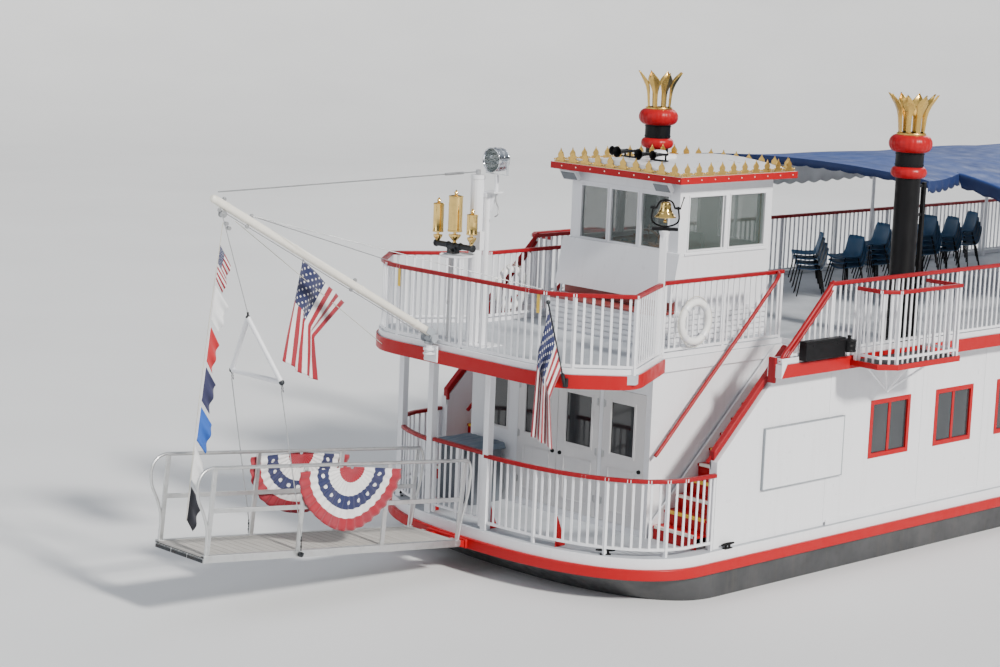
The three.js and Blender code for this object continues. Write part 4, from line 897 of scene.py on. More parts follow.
# %% Deckhouse windows and doors
frames, panes = bmesh.new(), bmesh.new()
window(frames, panes, "x", (7.39, 7.44), -1.50, -1.03, *DOOR_PANE, trim=0.035, proud=0.006)
piece("front_fixed_frame", frames, DOOR_WHITE, "boat", bevel=0.003)
piece("front_fixed_glass", panes, DARK_WINDOW, "boat")
FRONT_LEAVES = {"front_leaf_starboard": (-0.809, -0.004, -0.68, -0.15, -0.79),
                "front_leaf_port": (0.004, 0.809, 0.15, 0.68, 0.79),
                "front_leaf_port_outer": (0.891, 1.689, 1.03, 1.50, 0.91)}
for body_name, (low, high, a0, a1, hinge) in FRONT_LEAVES.items():
    frames, panes, iron = bmesh.new(), bmesh.new(), bmesh.new()
    window(frames, panes, "x", (7.402, 7.442), a0, a1, *DOOR_PANE, trim=0.035, proud=0.005)
    for bar in ((a0 - 0.01, 1.50, a1 + 0.01, 1.518), (a0 - 0.01, 2.122, a1 + 0.01, 2.14),
                (a0 - 0.01, 1.50, a0 + 0.008, 2.14), (a1 - 0.008, 1.50, a1 + 0.01, 2.14)):
        box(frames, (7.438, bar[0], bar[1]), (7.449, bar[2], bar[3]))
    piece(f"{body_name}_frame", frames, DOOR_WHITE, body_name, bevel=0.003)
    piece(f"{body_name}_glass", panes, DARK_WINDOW, body_name)
    for z in (1.62, 2.30, 3.02):
        rod(iron, (7.449, hinge, z - 0.055), (7.449, hinge, z + 0.055), 0.009, 10)
        leaf_side = math.copysign(0.03, (low + high) / 2 - hinge)
        box(iron, (7.440, min(hinge, hinge + leaf_side), z - 0.045),
            (7.446, max(hinge, hinge + leaf_side), z + 0.045))
    piece(f"{body_name}_hinges", iron, GALVANISED, body_name, bevel=0.0015)
    free = low if abs(hinge - high) < abs(hinge - low) else high
    inward = 0.07 if free == low else -0.07
    knob = bmesh.new()
    turn = Matrix.Translation((7.442, free + inward, 2.16)) @ QUARTER_Y
    spun(knob,
         [(0.0, 0.0), (0.030, 0.0), (0.030, 0.004), (0.014, 0.006), (0.012, 0.012), (0.024, 0.017),
          (0.026, 0.024),
                (0.018, 0.031), (0.0, 0.033)], 20, turn)
    piece(f"{body_name}_knob", knob, BLACK, body_name, smooth=40)

frames, panes = bmesh.new(), bmesh.new()
for side in (1, -1):
    wall = sorted((side * 2.74, side * 2.79))
    for i in range(7):
        x = 3.3 - 1.6 * i
        window(frames, panes, "y", wall, x - 0.45, x + 0.45, *SIDE_PANE, bars=(x,), trim=0.07, proud=0.010)
for low, high in ((-2.1, -1.1), (1.1, 2.1)):
    window(frames, panes, "x", (-7.45, -7.40), low, high, *SIDE_PANE, bars=((low + high) / 2,), trim=0.07,
           proud=0.01)
piece("deckhouse_window_frames", frames, RED, "boat", bevel=0.004)
CABIN_WINDOW = glass("cabin_side_glass", (0.03, 0.035, 0.04), 0.85)
piece("deckhouse_window_glass", panes, CABIN_WINDOW, "boat")
frames, panes = bmesh.new(), bmesh.new()
window(frames, panes, "x", (-7.452, -7.412), -0.23, 0.23, *DOOR_PANE, trim=0.04, proud=0.005)
piece("aft_door_frame", frames, RED, "aft_leaf", bevel=0.003)
piece("aft_door_glass", panes, CABIN_WINDOW, "aft_leaf")

# %% [markdown]
# Trim on the deckhouse: a rubbing skirt at the foot of its walls, cover strips on the joints of the side
# plating, and a blank signboard on the port side, where the boat carries its boards. The lettering is left
# out.

# %% Deckhouse trim
bm = bmesh.new()
for side in (1, -1):
    for x in (4.73, 2.5, 0.9, -0.7, -2.3, -3.9, -5.5, -7.1):
        side_box(bm, side, (x - 0.03, 2.788, 1.30), (x + 0.03, 2.796, 3.56))
    side_box(bm, side, (-7.44, 2.786, 1.252), (4.70, 2.802, 1.34))
piece("side_cover_strips", bm, WHITE, "boat", bevel=0.003)
bm = bmesh.new()
box(bm, (4.44, 2.791, 1.975), (6.20, 2.828, 2.835))
piece("signboard_blank", bm, WHITE, "boat", bevel=0.006)
bm = bmesh.new()
for low, high in (((4.43, 2.79, 1.965), (6.21, 2.832, 1.98)), ((4.43, 2.79, 2.83), (6.21, 2.832, 2.845)),
                  ((4.43, 2.79, 1.965), (4.445, 2.832, 2.845)),
                  ((6.195, 2.79, 1.965), (6.21, 2.832, 2.845))):
    box(bm, low, high)
piece("signboard_edge", bm, GREY_STEEL, "boat", bevel=0.003)

# %% [markdown]
# The pilothouse roof has a thin red fascia set with small white bulbs, and a cresting of gilded spades with
# a row of balls between them. The spades are cast plates, all alike, so one outline is extruded again and
# again round the edge.

# %% Roof edge and cresting
ROOF = [(6.504, 1.294), (3.926, 1.294), (3.926, -1.294), (6.504, -1.294)]
bm = bmesh.new()
ring(bm, ROOF, 6.100, 6.199, 0.016)
piece("roof_fascia", bm, RED, "boat", bevel=0.003)
bm = bmesh.new()
closed = [*ROOF, ROOF[0]]
for x, y, heading in walk(closed, 0.29):
    bmesh.ops.create_icosphere(bm, subdivisions=2, radius=0.010, matrix=Matrix.Translation((x, y, 6.152)))
piece("roof_bulbs", bm, CREAM, "boat", smooth=60)

SPADE = [(0.014, 0.0), (0.016, 0.014), (0.050, 0.006), (0.088, 0.018), (0.096, 0.040), (0.080, 0.056),
         (0.058, 0.050),
         (0.050, 0.062), (0.062, 0.088), (0.050, 0.118), (0.026, 0.142), (0.012, 0.160), (0.0, 0.192)]
spade_outline = SPADE + [(-x, z) for x, z in reversed(SPADE[:-1])]
bm = bmesh.new()
crest_line = [(6.462, 1.252), (3.968, 1.252), (3.968, -1.252), (6.462, -1.252), (6.462, 1.252)]
for start, end in zip(crest_line, crest_line[1:]):
    start, end = Vector(start), Vector(end)
    count = round((end - start).length / 0.243)
    heading = math.atan2(end.y - start.y, end.x - start.x)
    for k in range(count):
        place = start.lerp(end, (k + 0.5) / count)
        stand = (Matrix.Translation((place.x, place.y, 6.206)) @ Matrix.Rotation(heading, 4, "Z")
                 @ Matrix.Translation((0, 0.006, 0)) @ QUARTER_X)
        plate(bm, spade_outline, 0.012, stand)
        for shift in (-0.35, 0.35, 0.5):
            ball_at = start.lerp(end, (k + 0.5 + shift) / count)
            bmesh.ops.create_icosphere(bm, subdivisions=1, radius=0.017,
                                       matrix=Matrix.Translation((*ball_at, 6.236)))
    middle = (start + end) / 2
    half = (end - start).length / 2
    turn = Matrix.Translation((middle.x, middle.y, 0)) @ Matrix.Rotation(heading, 4, "Z")
    box(bm, (-half, -0.012, 6.2005), (half, 0.012, 6.216), turn)
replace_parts(piece("roof_spades", bm, GOLD, "boat", bevel=0.0025, segments=1, smooth=30),
            "roof_cresting")

# %% [markdown]
# On the roof stand two pairs of trumpet horns. Each bell is spun from its profile with a rolled lip, and a
# short one sits beside a long one on a bracket, with the compressor's box between the pairs.

# %% Horns and floodlights
TRUMPET = [(0.0, -0.46), (0.026, -0.46), (0.028, -0.44), (0.022, -0.42), (0.024, -0.30), (0.032, -0.18),
           (0.048, -0.08),
           (0.070, -0.03), (0.093, -0.006), (0.098, 0.0), (0.094, 0.006), (0.086, 0.0), (0.060, -0.035),
           (0.036, -0.08),
           (0.022, -0.14), (0.0, -0.16)]
bm = bmesh.new()
HORN_Z = 6.425
for y, x, short in ((0.21, 6.24, 0.85), (-0.21, 6.24, 0.85), (0.40, 6.14, 0.7), (-0.40, 6.14, 0.7)):
    turn = Matrix.Translation((x, y, HORN_Z)) @ QUARTER_Y @ Matrix.Scale(short, 4)
    spun(bm, TRUMPET, 28, turn)
    rod(bm, (x - 0.28, y, 6.33), (x - 0.28, y, HORN_Z), 0.014, 12)
for side in (1, -1):
    box(bm, (5.84, side * 0.305 - 0.14, 6.325), (5.90, side * 0.305 + 0.14, 6.345))
    rod(bm, (5.87, side * 0.21, HORN_Z), (5.85, side * 0.40, HORN_Z), 0.016, 12)
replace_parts(piece("horns", bm, BLACK, "boat", bevel=0.002, segments=1, smooth=40),
            "roof_horns")
bm = bmesh.new()
spun(bm, [(0.0, 0.0), (0.10, 0.0), (0.11, 0.02), (0.11, 0.09), (0.085, 0.125), (0.0, 0.135)], 32,
     Matrix.Translation((5.55, 0.0, 6.32)))
box(bm, (5.25, -0.07, 6.315), (5.47, 0.07, 6.385))
piece("roof_dome", bm, WHITE, "boat", bevel=0.008, smooth=35)

lamp, lens = bmesh.new(), bmesh.new()
for y in (-0.98, 0.86):
    tilt = Matrix.Translation((6.40, y, 6.03)) @ Matrix.Rotation(math.radians(35), 4, "Y")
    box(lamp, (-0.035, -0.16, -0.085), (0.03, 0.16, 0.085), tilt)
    for fin in range(6):
        box(lamp, (-0.055, -0.135 + fin * 0.052, -0.07), (-0.03, -0.123 + fin * 0.052, 0.07), tilt)
    box(lens, (0.031, -0.140, -0.067), (0.036, 0.140, 0.067), tilt)
    rod(lamp, (6.36, y, 6.03), (6.33, y, 6.11), 0.012, 10)
    crossbar(lamp, (6.33, y, 6.104), 0.05, 0.02, 10)
piece("eave_floodlights", lamp, WHITE, "boat", bevel=0.006, smooth=40)
piece("eave_floodlight_lenses", lens, LENS, "boat", bevel=0.002)

# %% [markdown]
# Below the flared skirt, which is left bare, the house stands on a bench: a brown-red seat board over a
# front of rounded slats. The slats wrap round the corners, so they are flat bars bent along a line with
# eased corners.

# %% Bench round the pilothouse
bench_line = eased([(4.22, 1.085), (6.685, 1.085), (6.685, -1.085), (4.22, -1.085)], 0.16, steps=8,
                   only=lambda p: p.x > 6)
bm = bmesh.new()
for i in range(5):
    strip(bm, bench_line, 0.022, 3.80 + i * 0.078, 3.862 + i * 0.078)
for side in (1, -1):
    side_box(bm, side, (4.22, 1.072, 4.18), (6.30, 1.10, 4.24))
piece("bench_slats", bm, WHITE, "boat", bevel=0.005, smooth=35)
bm = bmesh.new()
seat = eased([(6.30, 1.12), (6.71, 1.12), (6.71, -1.12), (6.30, -1.12)], 0.12, steps=6,
             only=lambda p: p.x > 6.6)
plate(bm, list(reversed(seat)), 0.035, Matrix.Translation((0, 0, 4.222)))
box(bm, (6.255, -1.08, 4.26), (6.31, 1.08, 4.40))
piece("bench_seat", bm, BROWN_RED, "boat", bevel=0.008)

# %% [markdown]
# Inside the pilothouse stand a varnished console with dials and a lever, the helm with a turned wooden rim,
# and a seat. They are seen through the glass, which is why they are made at all.

# %% Pilothouse interior
bm = bmesh.new()
box(bm, (5.762, -0.36, 5.06), (6.13, 0.36, 5.112))
box(bm, (5.764, -0.346, 4.20), (5.769, 0.346, 5.04))
box(bm, (4.262, -1.015, 4.125), (6.195, 1.015, 4.15))
for side in (1, -1):
    side_box(bm, side, (4.30, 1.0, 4.16), (6.16, 1.018, 5.04))
box(bm, (4.262, 0.9, 4.16), (4.285, 1.0, 6.05))
piece("pilothouse_woodwork", bm, WOOD, "boat", bevel=0.006)
bm = bmesh.new()
for y in (-0.2, 0.0, 0.2):
    spun(bm, [(0.0, 0.0), (0.06, 0.0), (0.06, 0.02), (0.05, 0.028), (0.0, 0.028)], 24,
         Matrix.Translation((6.0, y, 5.11)))
rod(bm, (5.86, 0.28, 5.10), (5.82, 0.30, 5.28), 0.008, 10)
ball(bm, (5.82, 0.30, 5.29), 0.022)
box(bm, (4.75, -0.25, 4.56), (5.20, 0.25, 4.66))
box(bm, (4.72, -0.24, 4.66), (4.80, 0.24, 5.20))
rod(bm, (4.97, 0, 4.15), (4.97, 0, 4.56), 0.04, 16)
rod(bm, (4.97, 0, 4.15), (4.97, 0, 4.17), 0.22, 24)
piece("pilothouse_fittings", bm, BLACK, "boat", bevel=0.012, segments=3, smooth=40)

rim, hub = bmesh.new(), bmesh.new()
helm_place = Matrix.Translation((5.705, 0, 5.02)) @ QUARTER_Y
spun(rim, round_section(0.26, 0.019, 0.019, 10), 40, helm_place)
for i in range(6):
    spoke = helm_place @ Matrix.Rotation(i * math.pi / 3, 4, "Z") @ QUARTER_Y
    spun(rim,
         [(0.0, 0.03), (0.016, 0.03), (0.010, 0.08), (0.017, 0.14), (0.011, 0.20), (0.016, 0.24),
          (0.014, 0.27),
               (0.017, 0.30), (0.012, 0.34), (0.0, 0.342)], 12, spoke)
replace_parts(piece("helm_rim", rim, WOOD, "helm", smooth=50), "helm_wheel")
spun(hub,
     [(0.0, -0.058), (0.034, -0.058), (0.04, -0.03), (0.055, -0.012), (0.055, 0.012), (0.03, 0.03),
      (0.0, 0.038)],
     32, helm_place)
piece("helm_hub", hub, BRASS, "helm", smooth=40)

# %% [markdown]
# Just behind the bow rail stand a pipe with three whistles, the mast that holds the boom's topping lift,
# and a thinner post with the searchlight. The mast and posts are the CAD's tubes, dressed with bands
# and gussets.

# %% Mast and light post
MAST, LIGHT, LIGHT_POST = (8.75, STAGE_Y), (8.59, -0.265, 6.38), (8.66, -0.36)
bm = bmesh.new()
for low, high, reach in ((6.10, 6.158, 0.101), (4.62, 4.66, 0.099), (3.772, 3.80, 0.135)):
    spun(bm, [(0.08, low), (reach, low), (reach, high), (0.08, high)], 32, Matrix.Translation((*MAST, 0)))
for low, high, reach in ((5.86, 5.92, 0.054), (3.772, 3.80, 0.085)):
    spun(bm, [(0.03, low), (reach, low), (reach, high), (0.03, high)], 24,
         Matrix.Translation((*LIGHT_POST, 0)))
gusset = [(0.045, 0.0), (0.045, -0.26), (0.06, -0.26), (0.15, 0.0)]
for spin in (math.radians(127), math.radians(217)):
    stand = (Matrix.Translation((*LIGHT_POST, 5.918)) @ Matrix.Rotation(spin, 4, "Z")
             @ Matrix.Translation((0, 0.005, 0)) @ QUARTER_X)
    plate(bm, gusset, 0.010, stand)
piece("mast_bands", bm, WHITE, "boat", bevel=0.004, smooth=35)
tube("searchlight_lever",
     [[(8.59, -0.265, 5.90), (8.60, -0.25, 5.80), (8.57, -0.23, 5.70), (8.60, -0.21, 5.62),
                            (8.66, -0.20, 5.60)]], 0.009, GALVANISED, "boat")

# %% [markdown]
# The searchlight is a spun drum of chromed sheet with pressed bands. Its front is open: behind a thin lens
# lies the reflector bowl with a bulb on a stalk. It turns on a flat yoke.

# %% Searchlight
lamp, lens = bmesh.new(), bmesh.new()
aim = Matrix.Translation(LIGHT) @ QUARTER_Y
DRUM = [(0.0, -0.128), (0.07, -0.124), (0.120, -0.112), (0.150, -0.094), (0.162, -0.084), (0.162, -0.074),
        (0.155, -0.070), (0.158, -0.012), (0.165, -0.008), (0.165, 0.008), (0.159, 0.012), (0.163, 0.082),
        (0.173, 0.090), (0.175, 0.126), (0.168, 0.129), (0.160, 0.120), (0.150, 0.06), (0.120, 0.0),
        (0.070, -0.05),
        (0.022, -0.068), (0.022, 0.0), (0.034, 0.02), (0.030, 0.05), (0.0, 0.062)]
spun(lamp, DRUM, 40, aim)
for side in (1, -1):
    rod(lamp, (LIGHT[0], LIGHT[1] + side * 0.155, LIGHT[2]), (LIGHT[0], LIGHT[1] + side * 0.222, LIGHT[2]),
        0.022, 16)
    low, high = sorted((LIGHT[1] + side * 0.200, LIGHT[1] + side * 0.212))
    box(lamp, (LIGHT[0] - 0.018, low, LIGHT[2] - 0.20), (LIGHT[0] + 0.018, high, LIGHT[2] + 0.02))
box(lamp, (LIGHT[0] - 0.02, LIGHT[1] - 0.212, LIGHT[2] - 0.202),
    (LIGHT[0] + 0.02, LIGHT[1] + 0.212, LIGHT[2] - 0.188))
box(lamp, (LIGHT[0] - 0.06, LIGHT[1] - 0.03, LIGHT[2] + 0.158),
    (LIGHT[0] + 0.05, LIGHT[1] + 0.03, LIGHT[2] + 0.175))
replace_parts(piece("searchlight_drum", lamp, CHROME, "searchlight_head", bevel=0.003, smooth=40),
            "searchlight")
spun(lens, [(0.0, 0.100), (0.157, 0.092), (0.157, 0.097), (0.0, 0.106)], 40, aim)
piece("searchlight_lens", lens, WINDOW, "searchlight_head", smooth=40)

# %% [markdown]
# The whistles are polished brass bells over their cups. Steam leaves the slot round the cup and strikes the
# bell's lip, so cup, slot and bell are one turned profile. They stand on a dark manifold over a white drip
# plate.

# %% Whistles
WHISTLE_X, WHISTLE_Y, MANIFOLD_Z = 9.10, -0.53, 5.18
bm = bmesh.new()
for y, low, high, r in ((-0.875, 5.336, 5.743, 0.075), (-0.53, 5.375, 5.882, 0.098),
                        (-0.185, 5.369, 5.657, 0.075)):
    foot = low - 0.16
    profile = [(0.0, foot - 0.03), (0.018, foot - 0.03), (0.018, foot), (0.030, foot + 0.01),
               (0.020, foot + 0.03),
               (r * 0.62, foot + 0.07), (r * 0.86, foot + 0.10), (r * 0.88, foot + 0.125),
               (0.020, foot + 0.13),
               (0.020, low), (r, low), (r * 1.05, low + 0.006), (r * 1.05, low + 0.02), (r, low + 0.026),
               (r, high - 0.03), (r * 1.05, high - 0.024), (r * 1.05, high - 0.012),
               (r * 0.96, high - 0.004),
               (r * 0.5, high + 0.004), (0.026, high + 0.006), (0.020, high + 0.016), (0.032, high + 0.03),
               (0.026, high + 0.046), (0.012, high + 0.052), (0.018, high + 0.062), (0.0, high + 0.078)]
    spun(bm, profile, 36, Matrix.Translation((WHISTLE_X, y, 0)))
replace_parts(piece("whistle_bells", bm, BRASS, "boat", smooth=32), "whistles")
bm = bmesh.new()
crossbar(bm, (WHISTLE_X, WHISTLE_Y, MANIFOLD_Z), 0.37, 0.040, 20)
for y in (-0.37, -0.12, 0.0, 0.12, 0.37):
    crossbar(bm, (WHISTLE_X, WHISTLE_Y + y, MANIFOLD_Z), 0.016, 0.054, 8)
box(bm, (WHISTLE_X - 0.05, WHISTLE_Y - 0.10, MANIFOLD_Z - 0.11),
    (WHISTLE_X + 0.05, WHISTLE_Y + 0.06, MANIFOLD_Z))
rod(bm, (WHISTLE_X + 0.04, WHISTLE_Y, MANIFOLD_Z - 0.06),
    (WHISTLE_X + 0.15, WHISTLE_Y + 0.05, MANIFOLD_Z - 0.06), 0.026,
    12)
piece("whistle_manifold", bm, IRON, "boat", bevel=0.006, smooth=40)
bm = bmesh.new()
spun(bm,
     [(0.0, 5.038), (0.235, 5.038), (0.24, 5.045), (0.24, 5.068), (0.233, 5.068), (0.230, 5.052),
      (0.0, 5.052)], 40,
     Matrix.Translation((WHISTLE_X, WHISTLE_Y + 0.06, 0)))
box(bm, (8.845, -0.42, 5.14), (8.93, -0.20, 5.40))
piece("whistle_drip_plate", bm, WHITE, "boat", bevel=0.003, smooth=40)
bm = bmesh.new()
spun(bm,
     [(0.0, 3.772), (0.11, 3.772), (0.11, 3.786), (0.045, 3.792), (0.038, 3.81), (0.036, 4.35),
      (0.043, 4.355),
          (0.043, 4.41), (0.036, 4.415), (0.036, 5.04), (0.0, 5.04)], 24,
     Matrix.Translation((9.10, -0.585, 0)))
piece("whistle_pipe", bm, GALVANISED, "boat", smooth=40)

# %% [markdown]
# The polished bell hangs from a bent yoke, between the two bearings of a lyre shaped stand on its post. It
# is spun from its profile, with moulded rings at the shoulder and the lip, and its clapper shows below.
# Bell, yoke and stand are drawn about the pivot, with the pin along Y, and turned with it to face off the
# port bow.

# %% Bell
BELL_PIVOT = Matrix.Translation((7.40, 1.832, 5.877)) @ Matrix.Rotation(math.pi / 4, 4, "Z")


def bent_bar(bm, line, radius, segments=12):
    """A bent bar through points of the bell's own Y and Z, with its bends eased."""
    line = eased(line, 0.05, steps=4, only=lambda p: (p - Vector(line[0])).length > 0.001 and
                 (p - Vector(line[-1])).length > 0.001)
    for start, end in zip(line, line[1:]):
        rod(bm, (0, *start), (0, *end), radius, segments, BELL_PIVOT)
        ball(bm, BELL_PIVOT @ Vector((0, *end)), radius)


def about_pivot(points):
    return [(-y, z) for y, z in reversed(points)] + points


bm = bmesh.new()
spun(bm,
     [(0.0, 0.088), (0.030, 0.087), (0.052, 0.081), (0.064, 0.070), (0.066, 0.066), (0.066, 0.060),
      (0.069, 0.054),
          (0.071, 0.030), (0.074, 0.005), (0.080, -0.020), (0.091, -0.046), (0.100, -0.060),
      (0.104, -0.062),
          (0.104, -0.068), (0.110, -0.078), (0.128, -0.100), (0.143, -0.114), (0.147, -0.121),
      (0.146, -0.127),
          (0.138, -0.126), (0.120, -0.098), (0.090, -0.058), (0.066, -0.010), (0.058, 0.040), (0.0, 0.068)],
     48, BELL_PIVOT)
rod(bm, (0, 0, 0.075), (0, 0, -0.17), 0.008, 10, BELL_PIVOT)
ball(bm, BELL_PIVOT @ Vector((0, 0, -0.185)), 0.024)
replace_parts(piece("bell_shell", bm, BRASS, "bell_body", smooth=35), "bell")
bm = bmesh.new()
bent_bar(bm, about_pivot([(0.045, 0.105), (0.085, 0.085), (0.110, 0.040), (0.122, 0.0), (0.150, 0.0)]),
         0.0125)
for side in (1, -1):
    rod(bm, (0, side * 0.118, 0), (0, side * 0.208, 0), 0.016, 16, BELL_PIVOT)
rod(bm, (0, 0, 0.083), (0, 0, 0.122), 0.019, 6, BELL_PIVOT)
rod(bm, (0, 0.200, 0), (0, 0.240, 0.142), 0.007, 10, BELL_PIVOT)
ball(bm, BELL_PIVOT @ Vector((0, 0.242, 0.148)), 0.014)
piece("bell_yoke", bm, BLACK, "bell_body", smooth=40)
bm = bmesh.new()
lyre = [(0.110, -0.234), (0.172, -0.197), (0.190, -0.147), (0.184, -0.077), (0.172, 0.0)]
bent_bar(bm, [(-y, z) for y, z in reversed(lyre)] + [(0.0, -0.262)] + lyre, 0.0125)
for side in (1, -1):
    low, high = sorted((side * 0.158, side * 0.186))
    rod(bm, (0, low, 0), (0, high, 0), 0.025, 20, BELL_PIVOT)
box(bm, (-0.050, -0.180, -0.306), (0.050, 0.180, -0.268), BELL_PIVOT)
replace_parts(piece("bell_lyre", bm, BLACK, "boat", bevel=0.003, smooth=40), "bell_stand")
bm = bmesh.new()
spun(bm, [(0.046, 5.40), (0.052, 5.48), (0.075, 5.545), (0.082, 5.562), (0.050, 5.568)], 24,
     Matrix.Translation((7.40, 1.832, 0)))
board = Matrix.Translation((7.40, 1.832, 0)) @ Matrix.Rotation(math.radians(26), 4, "Z")
box(bm, (0.030, -0.050, 3.80), (0.046, 0.050, 5.50), board)
start, end = Vector((7.285, 1.775)), Vector((7.615, 1.945))
panel = Matrix.Translation((*((start + end) / 2), 0)) @ Matrix.Rotation(math.atan2(0.17, 0.33), 4, "Z")
box(bm, (-0.165, -0.026, 3.86), (0.165, 0.012, 4.785), panel)
piece("corner_boards", bm, WHITE, "boat", bevel=0.005)

# %% [markdown]
# Life rings hang outside the stairwell rails. Each is a torus with four bands, and a grab line runs round
# it from band to band, a little slack, as one closed tube.

# %% Life rings
RING_REACH = 0.278
RING_WHITE = painted("life_ring_white", (0.84, 0.84, 0.82), 0.5, 0.12, coat=0.1)
for name, side in (("port", 1), ("starboard", -1)):
    bm, bands = bmesh.new(), bmesh.new()
    stand = Matrix.Translation((6.68, side * 1.84, 4.25)) @ QUARTER_X
    spun(bm, round_section(RING_REACH, 0.053, 0.048, 16), 48, stand)
    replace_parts(piece(f"life_ring_{name}_body", bm, RING_WHITE, "boat", smooth=60),
                f"life_ring_{name}")
    line = []
    for quarter in range(4):
        for k in range(6):
            a = math.pi / 4 + (quarter + k / 6) * math.pi / 2
            reach = 0.334 + 0.022 * math.sin(math.pi * k / 6)
            line.append(stand @ Vector((reach * math.cos(a), reach * math.sin(a), 0.0)))
        at = Matrix.Rotation(math.pi / 4 + quarter * math.pi / 2, 4,
                             "Z") @ Matrix.Translation((RING_REACH, 0, 0))
        turned_in = at @ QUARTER_X
        spun(bands,
             [(0.055, -0.03), (0.057, -0.028), (0.057, 0.028), (0.055, 0.03), (0.051, 0.0), (0.055, -0.03)],
             20,
             stand @ turned_in)
    tube(f"life_ring_{name}_line", [[*line, line[0]]], 0.006, ROPE, "boat", resolution=2)
    piece(f"life_ring_{name}_bands", bands, WHITE, "boat", smooth=40)

# %% [markdown]
# The boom is a cream tube with a rounded tip. It slews on a pin in the step and carries collars, eyes, the
# head block and the hoist winch. Everything on it is placed along its own axis, so one matrix serves them
# all.

# %% Boom
BOOM_PITCH = math.radians(28.3)
BOOM_FRAME = Matrix.Translation((9.56, STAGE_Y, 4.01)) @ Matrix.Rotation(-BOOM_PITCH, 4, "Y")
along_boom = BOOM_FRAME @ QUARTER_Y
bm = bmesh.new()
spun(bm,
     [(0.0, -0.06), (0.050, -0.055), (0.055, -0.04), (0.055, 4.24), (0.050, 4.27), (0.034, 4.293),
      (0.0, 4.30)], 36,
     along_boom)
for s in (0.30, 1.45, 2.75, 3.70, 4.02):
    spun(bm, [(0.05, s - 0.02), (0.060, s - 0.016), (0.060, s + 0.016), (0.05, s + 0.02)], 36, along_boom)
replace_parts(piece("boom_tube", bm, CREAM, "boom_spar", smooth=35), "boom")
bm = bmesh.new()
spun(bm,
     [(0.0, 3.856), (0.070, 3.856), (0.070, 3.882), (0.044, 3.888), (0.042, 4.00), (0.050, 4.02),
      (0.0, 4.05)], 32,
     Matrix.Translation((9.56, STAGE_Y, 0)))
box(bm, (9.475, -0.548, 3.874), (9.53, -0.402, 3.985))
for y in (-0.548, -0.414):
    box(bm, (-0.05, y - STAGE_Y, -0.05), (0.11, y + 0.487, 0.05), BOOM_FRAME)
rod(bm, (9.56, -0.585, 3.93), (9.56, -0.365, 3.93), 0.04, 24)
for y in (-0.587, -0.553, -0.397, -0.363):
    crossbar(bm, (9.56, y, 3.93), 0.004, 0.058, 24)
piece("boom_gooseneck", bm, GREY_STEEL, "boom_spar", bevel=0.005, smooth=40)
bm = bmesh.new()
for s, drop in ((4.10, -0.085), (3.60, -0.08), (1.60, -0.07)):
    rod(bm, (s, 0, 0.075), (s, 0, drop), 0.012, 10, BOOM_FRAME)
    for up in (0.07, drop):
        here = BOOM_FRAME @ Vector((s, 0, up))
        crossbar(bm, here, 0.012, 0.026, 16)
head = Vector((13.16, STAGE_Y, 5.846))
for y in (-0.032, 0.032):
    crossbar(bm, head + Vector((0, y, -0.02)), 0.004, 0.046, 24)
crossbar(bm, head + Vector((0, 0, -0.02)), 0.02, 0.038, 24)
crossbar(bm, head + Vector((0, 0, -0.02)), 0.045, 0.014, 12)
for x, z in ((13.10, 5.70), (13.06, 5.64)):
    crossbar(bm, (x, STAGE_Y, z), 0.025, 0.026, 16)
piece("boom_blocks", bm, GALVANISED, "boom_spar", bevel=0.002, smooth=40)
bm = bmesh.new()
box(bm, (9.503, -0.605, 3.60), (9.530, -0.345, 3.83))
step = [(9.528, -0.565), (9.60, -0.55), (9.635, -0.51), (9.635, -0.44), (9.60, -0.40), (9.528, -0.385)]
for depth, height in ((0.03, 3.765), (0.02, 3.705)):
    plate(bm, step, depth, Matrix.Translation((0, 0, height)))
rod(bm, (9.56, STAGE_Y, 3.69), (9.56, STAGE_Y, 3.85), 0.045, 24)
for y in (-0.59, -0.36):
    for z in (3.63, 3.80):
        rod(bm, (9.528, y, z), (9.542, y, z), 0.013, 6)
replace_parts(piece("boom_step_plates", bm, WHITE, "boat", bevel=0.004, smooth=40),
            "boom_step")
hoist_wire = [[(13.16, STAGE_Y, 5.80), (12.728, STAGE_Y, 4.535)],
              [tuple(BOOM_FRAME @ Vector((0.1, 0, -0.075))), tuple(BOOM_FRAME @ Vector((4.0, 0, -0.080)))]]
tube("hoist_wires", hoist_wire, 0.006, GALVANISED, "boom_spar", resolution=2, smooth_path=False)
finish_node("topping_lift", GALVANISED)
guys = [[tuple(BOOM_FRAME @ Vector((3.6, 0, 0.07))), (9.40, side * 1.50, 4.86)] for side in (1, -1)]
for guy, name in zip(guys, ("port", "starboard")):
    tip, rail = (Vector(end) for end in guy)
    line = [tuple(tip.lerp(rail, k / 16)) for k in range(17)]
    wire = tube(f"boom_guy_{name}", [line], 0.006, GALVANISED, None, resolution=2)
    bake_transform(wire)
    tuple(tip)
    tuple(rail)

# %% [markdown]
# The landing stage is welded from aluminium: channel sides, a floor of extruded planks laid across it, and
# flat uprights that carry a round hand rail. At both ends the rail curves down to the deck in an S. Its
# wires meet at a white spreader, so that it hangs level.

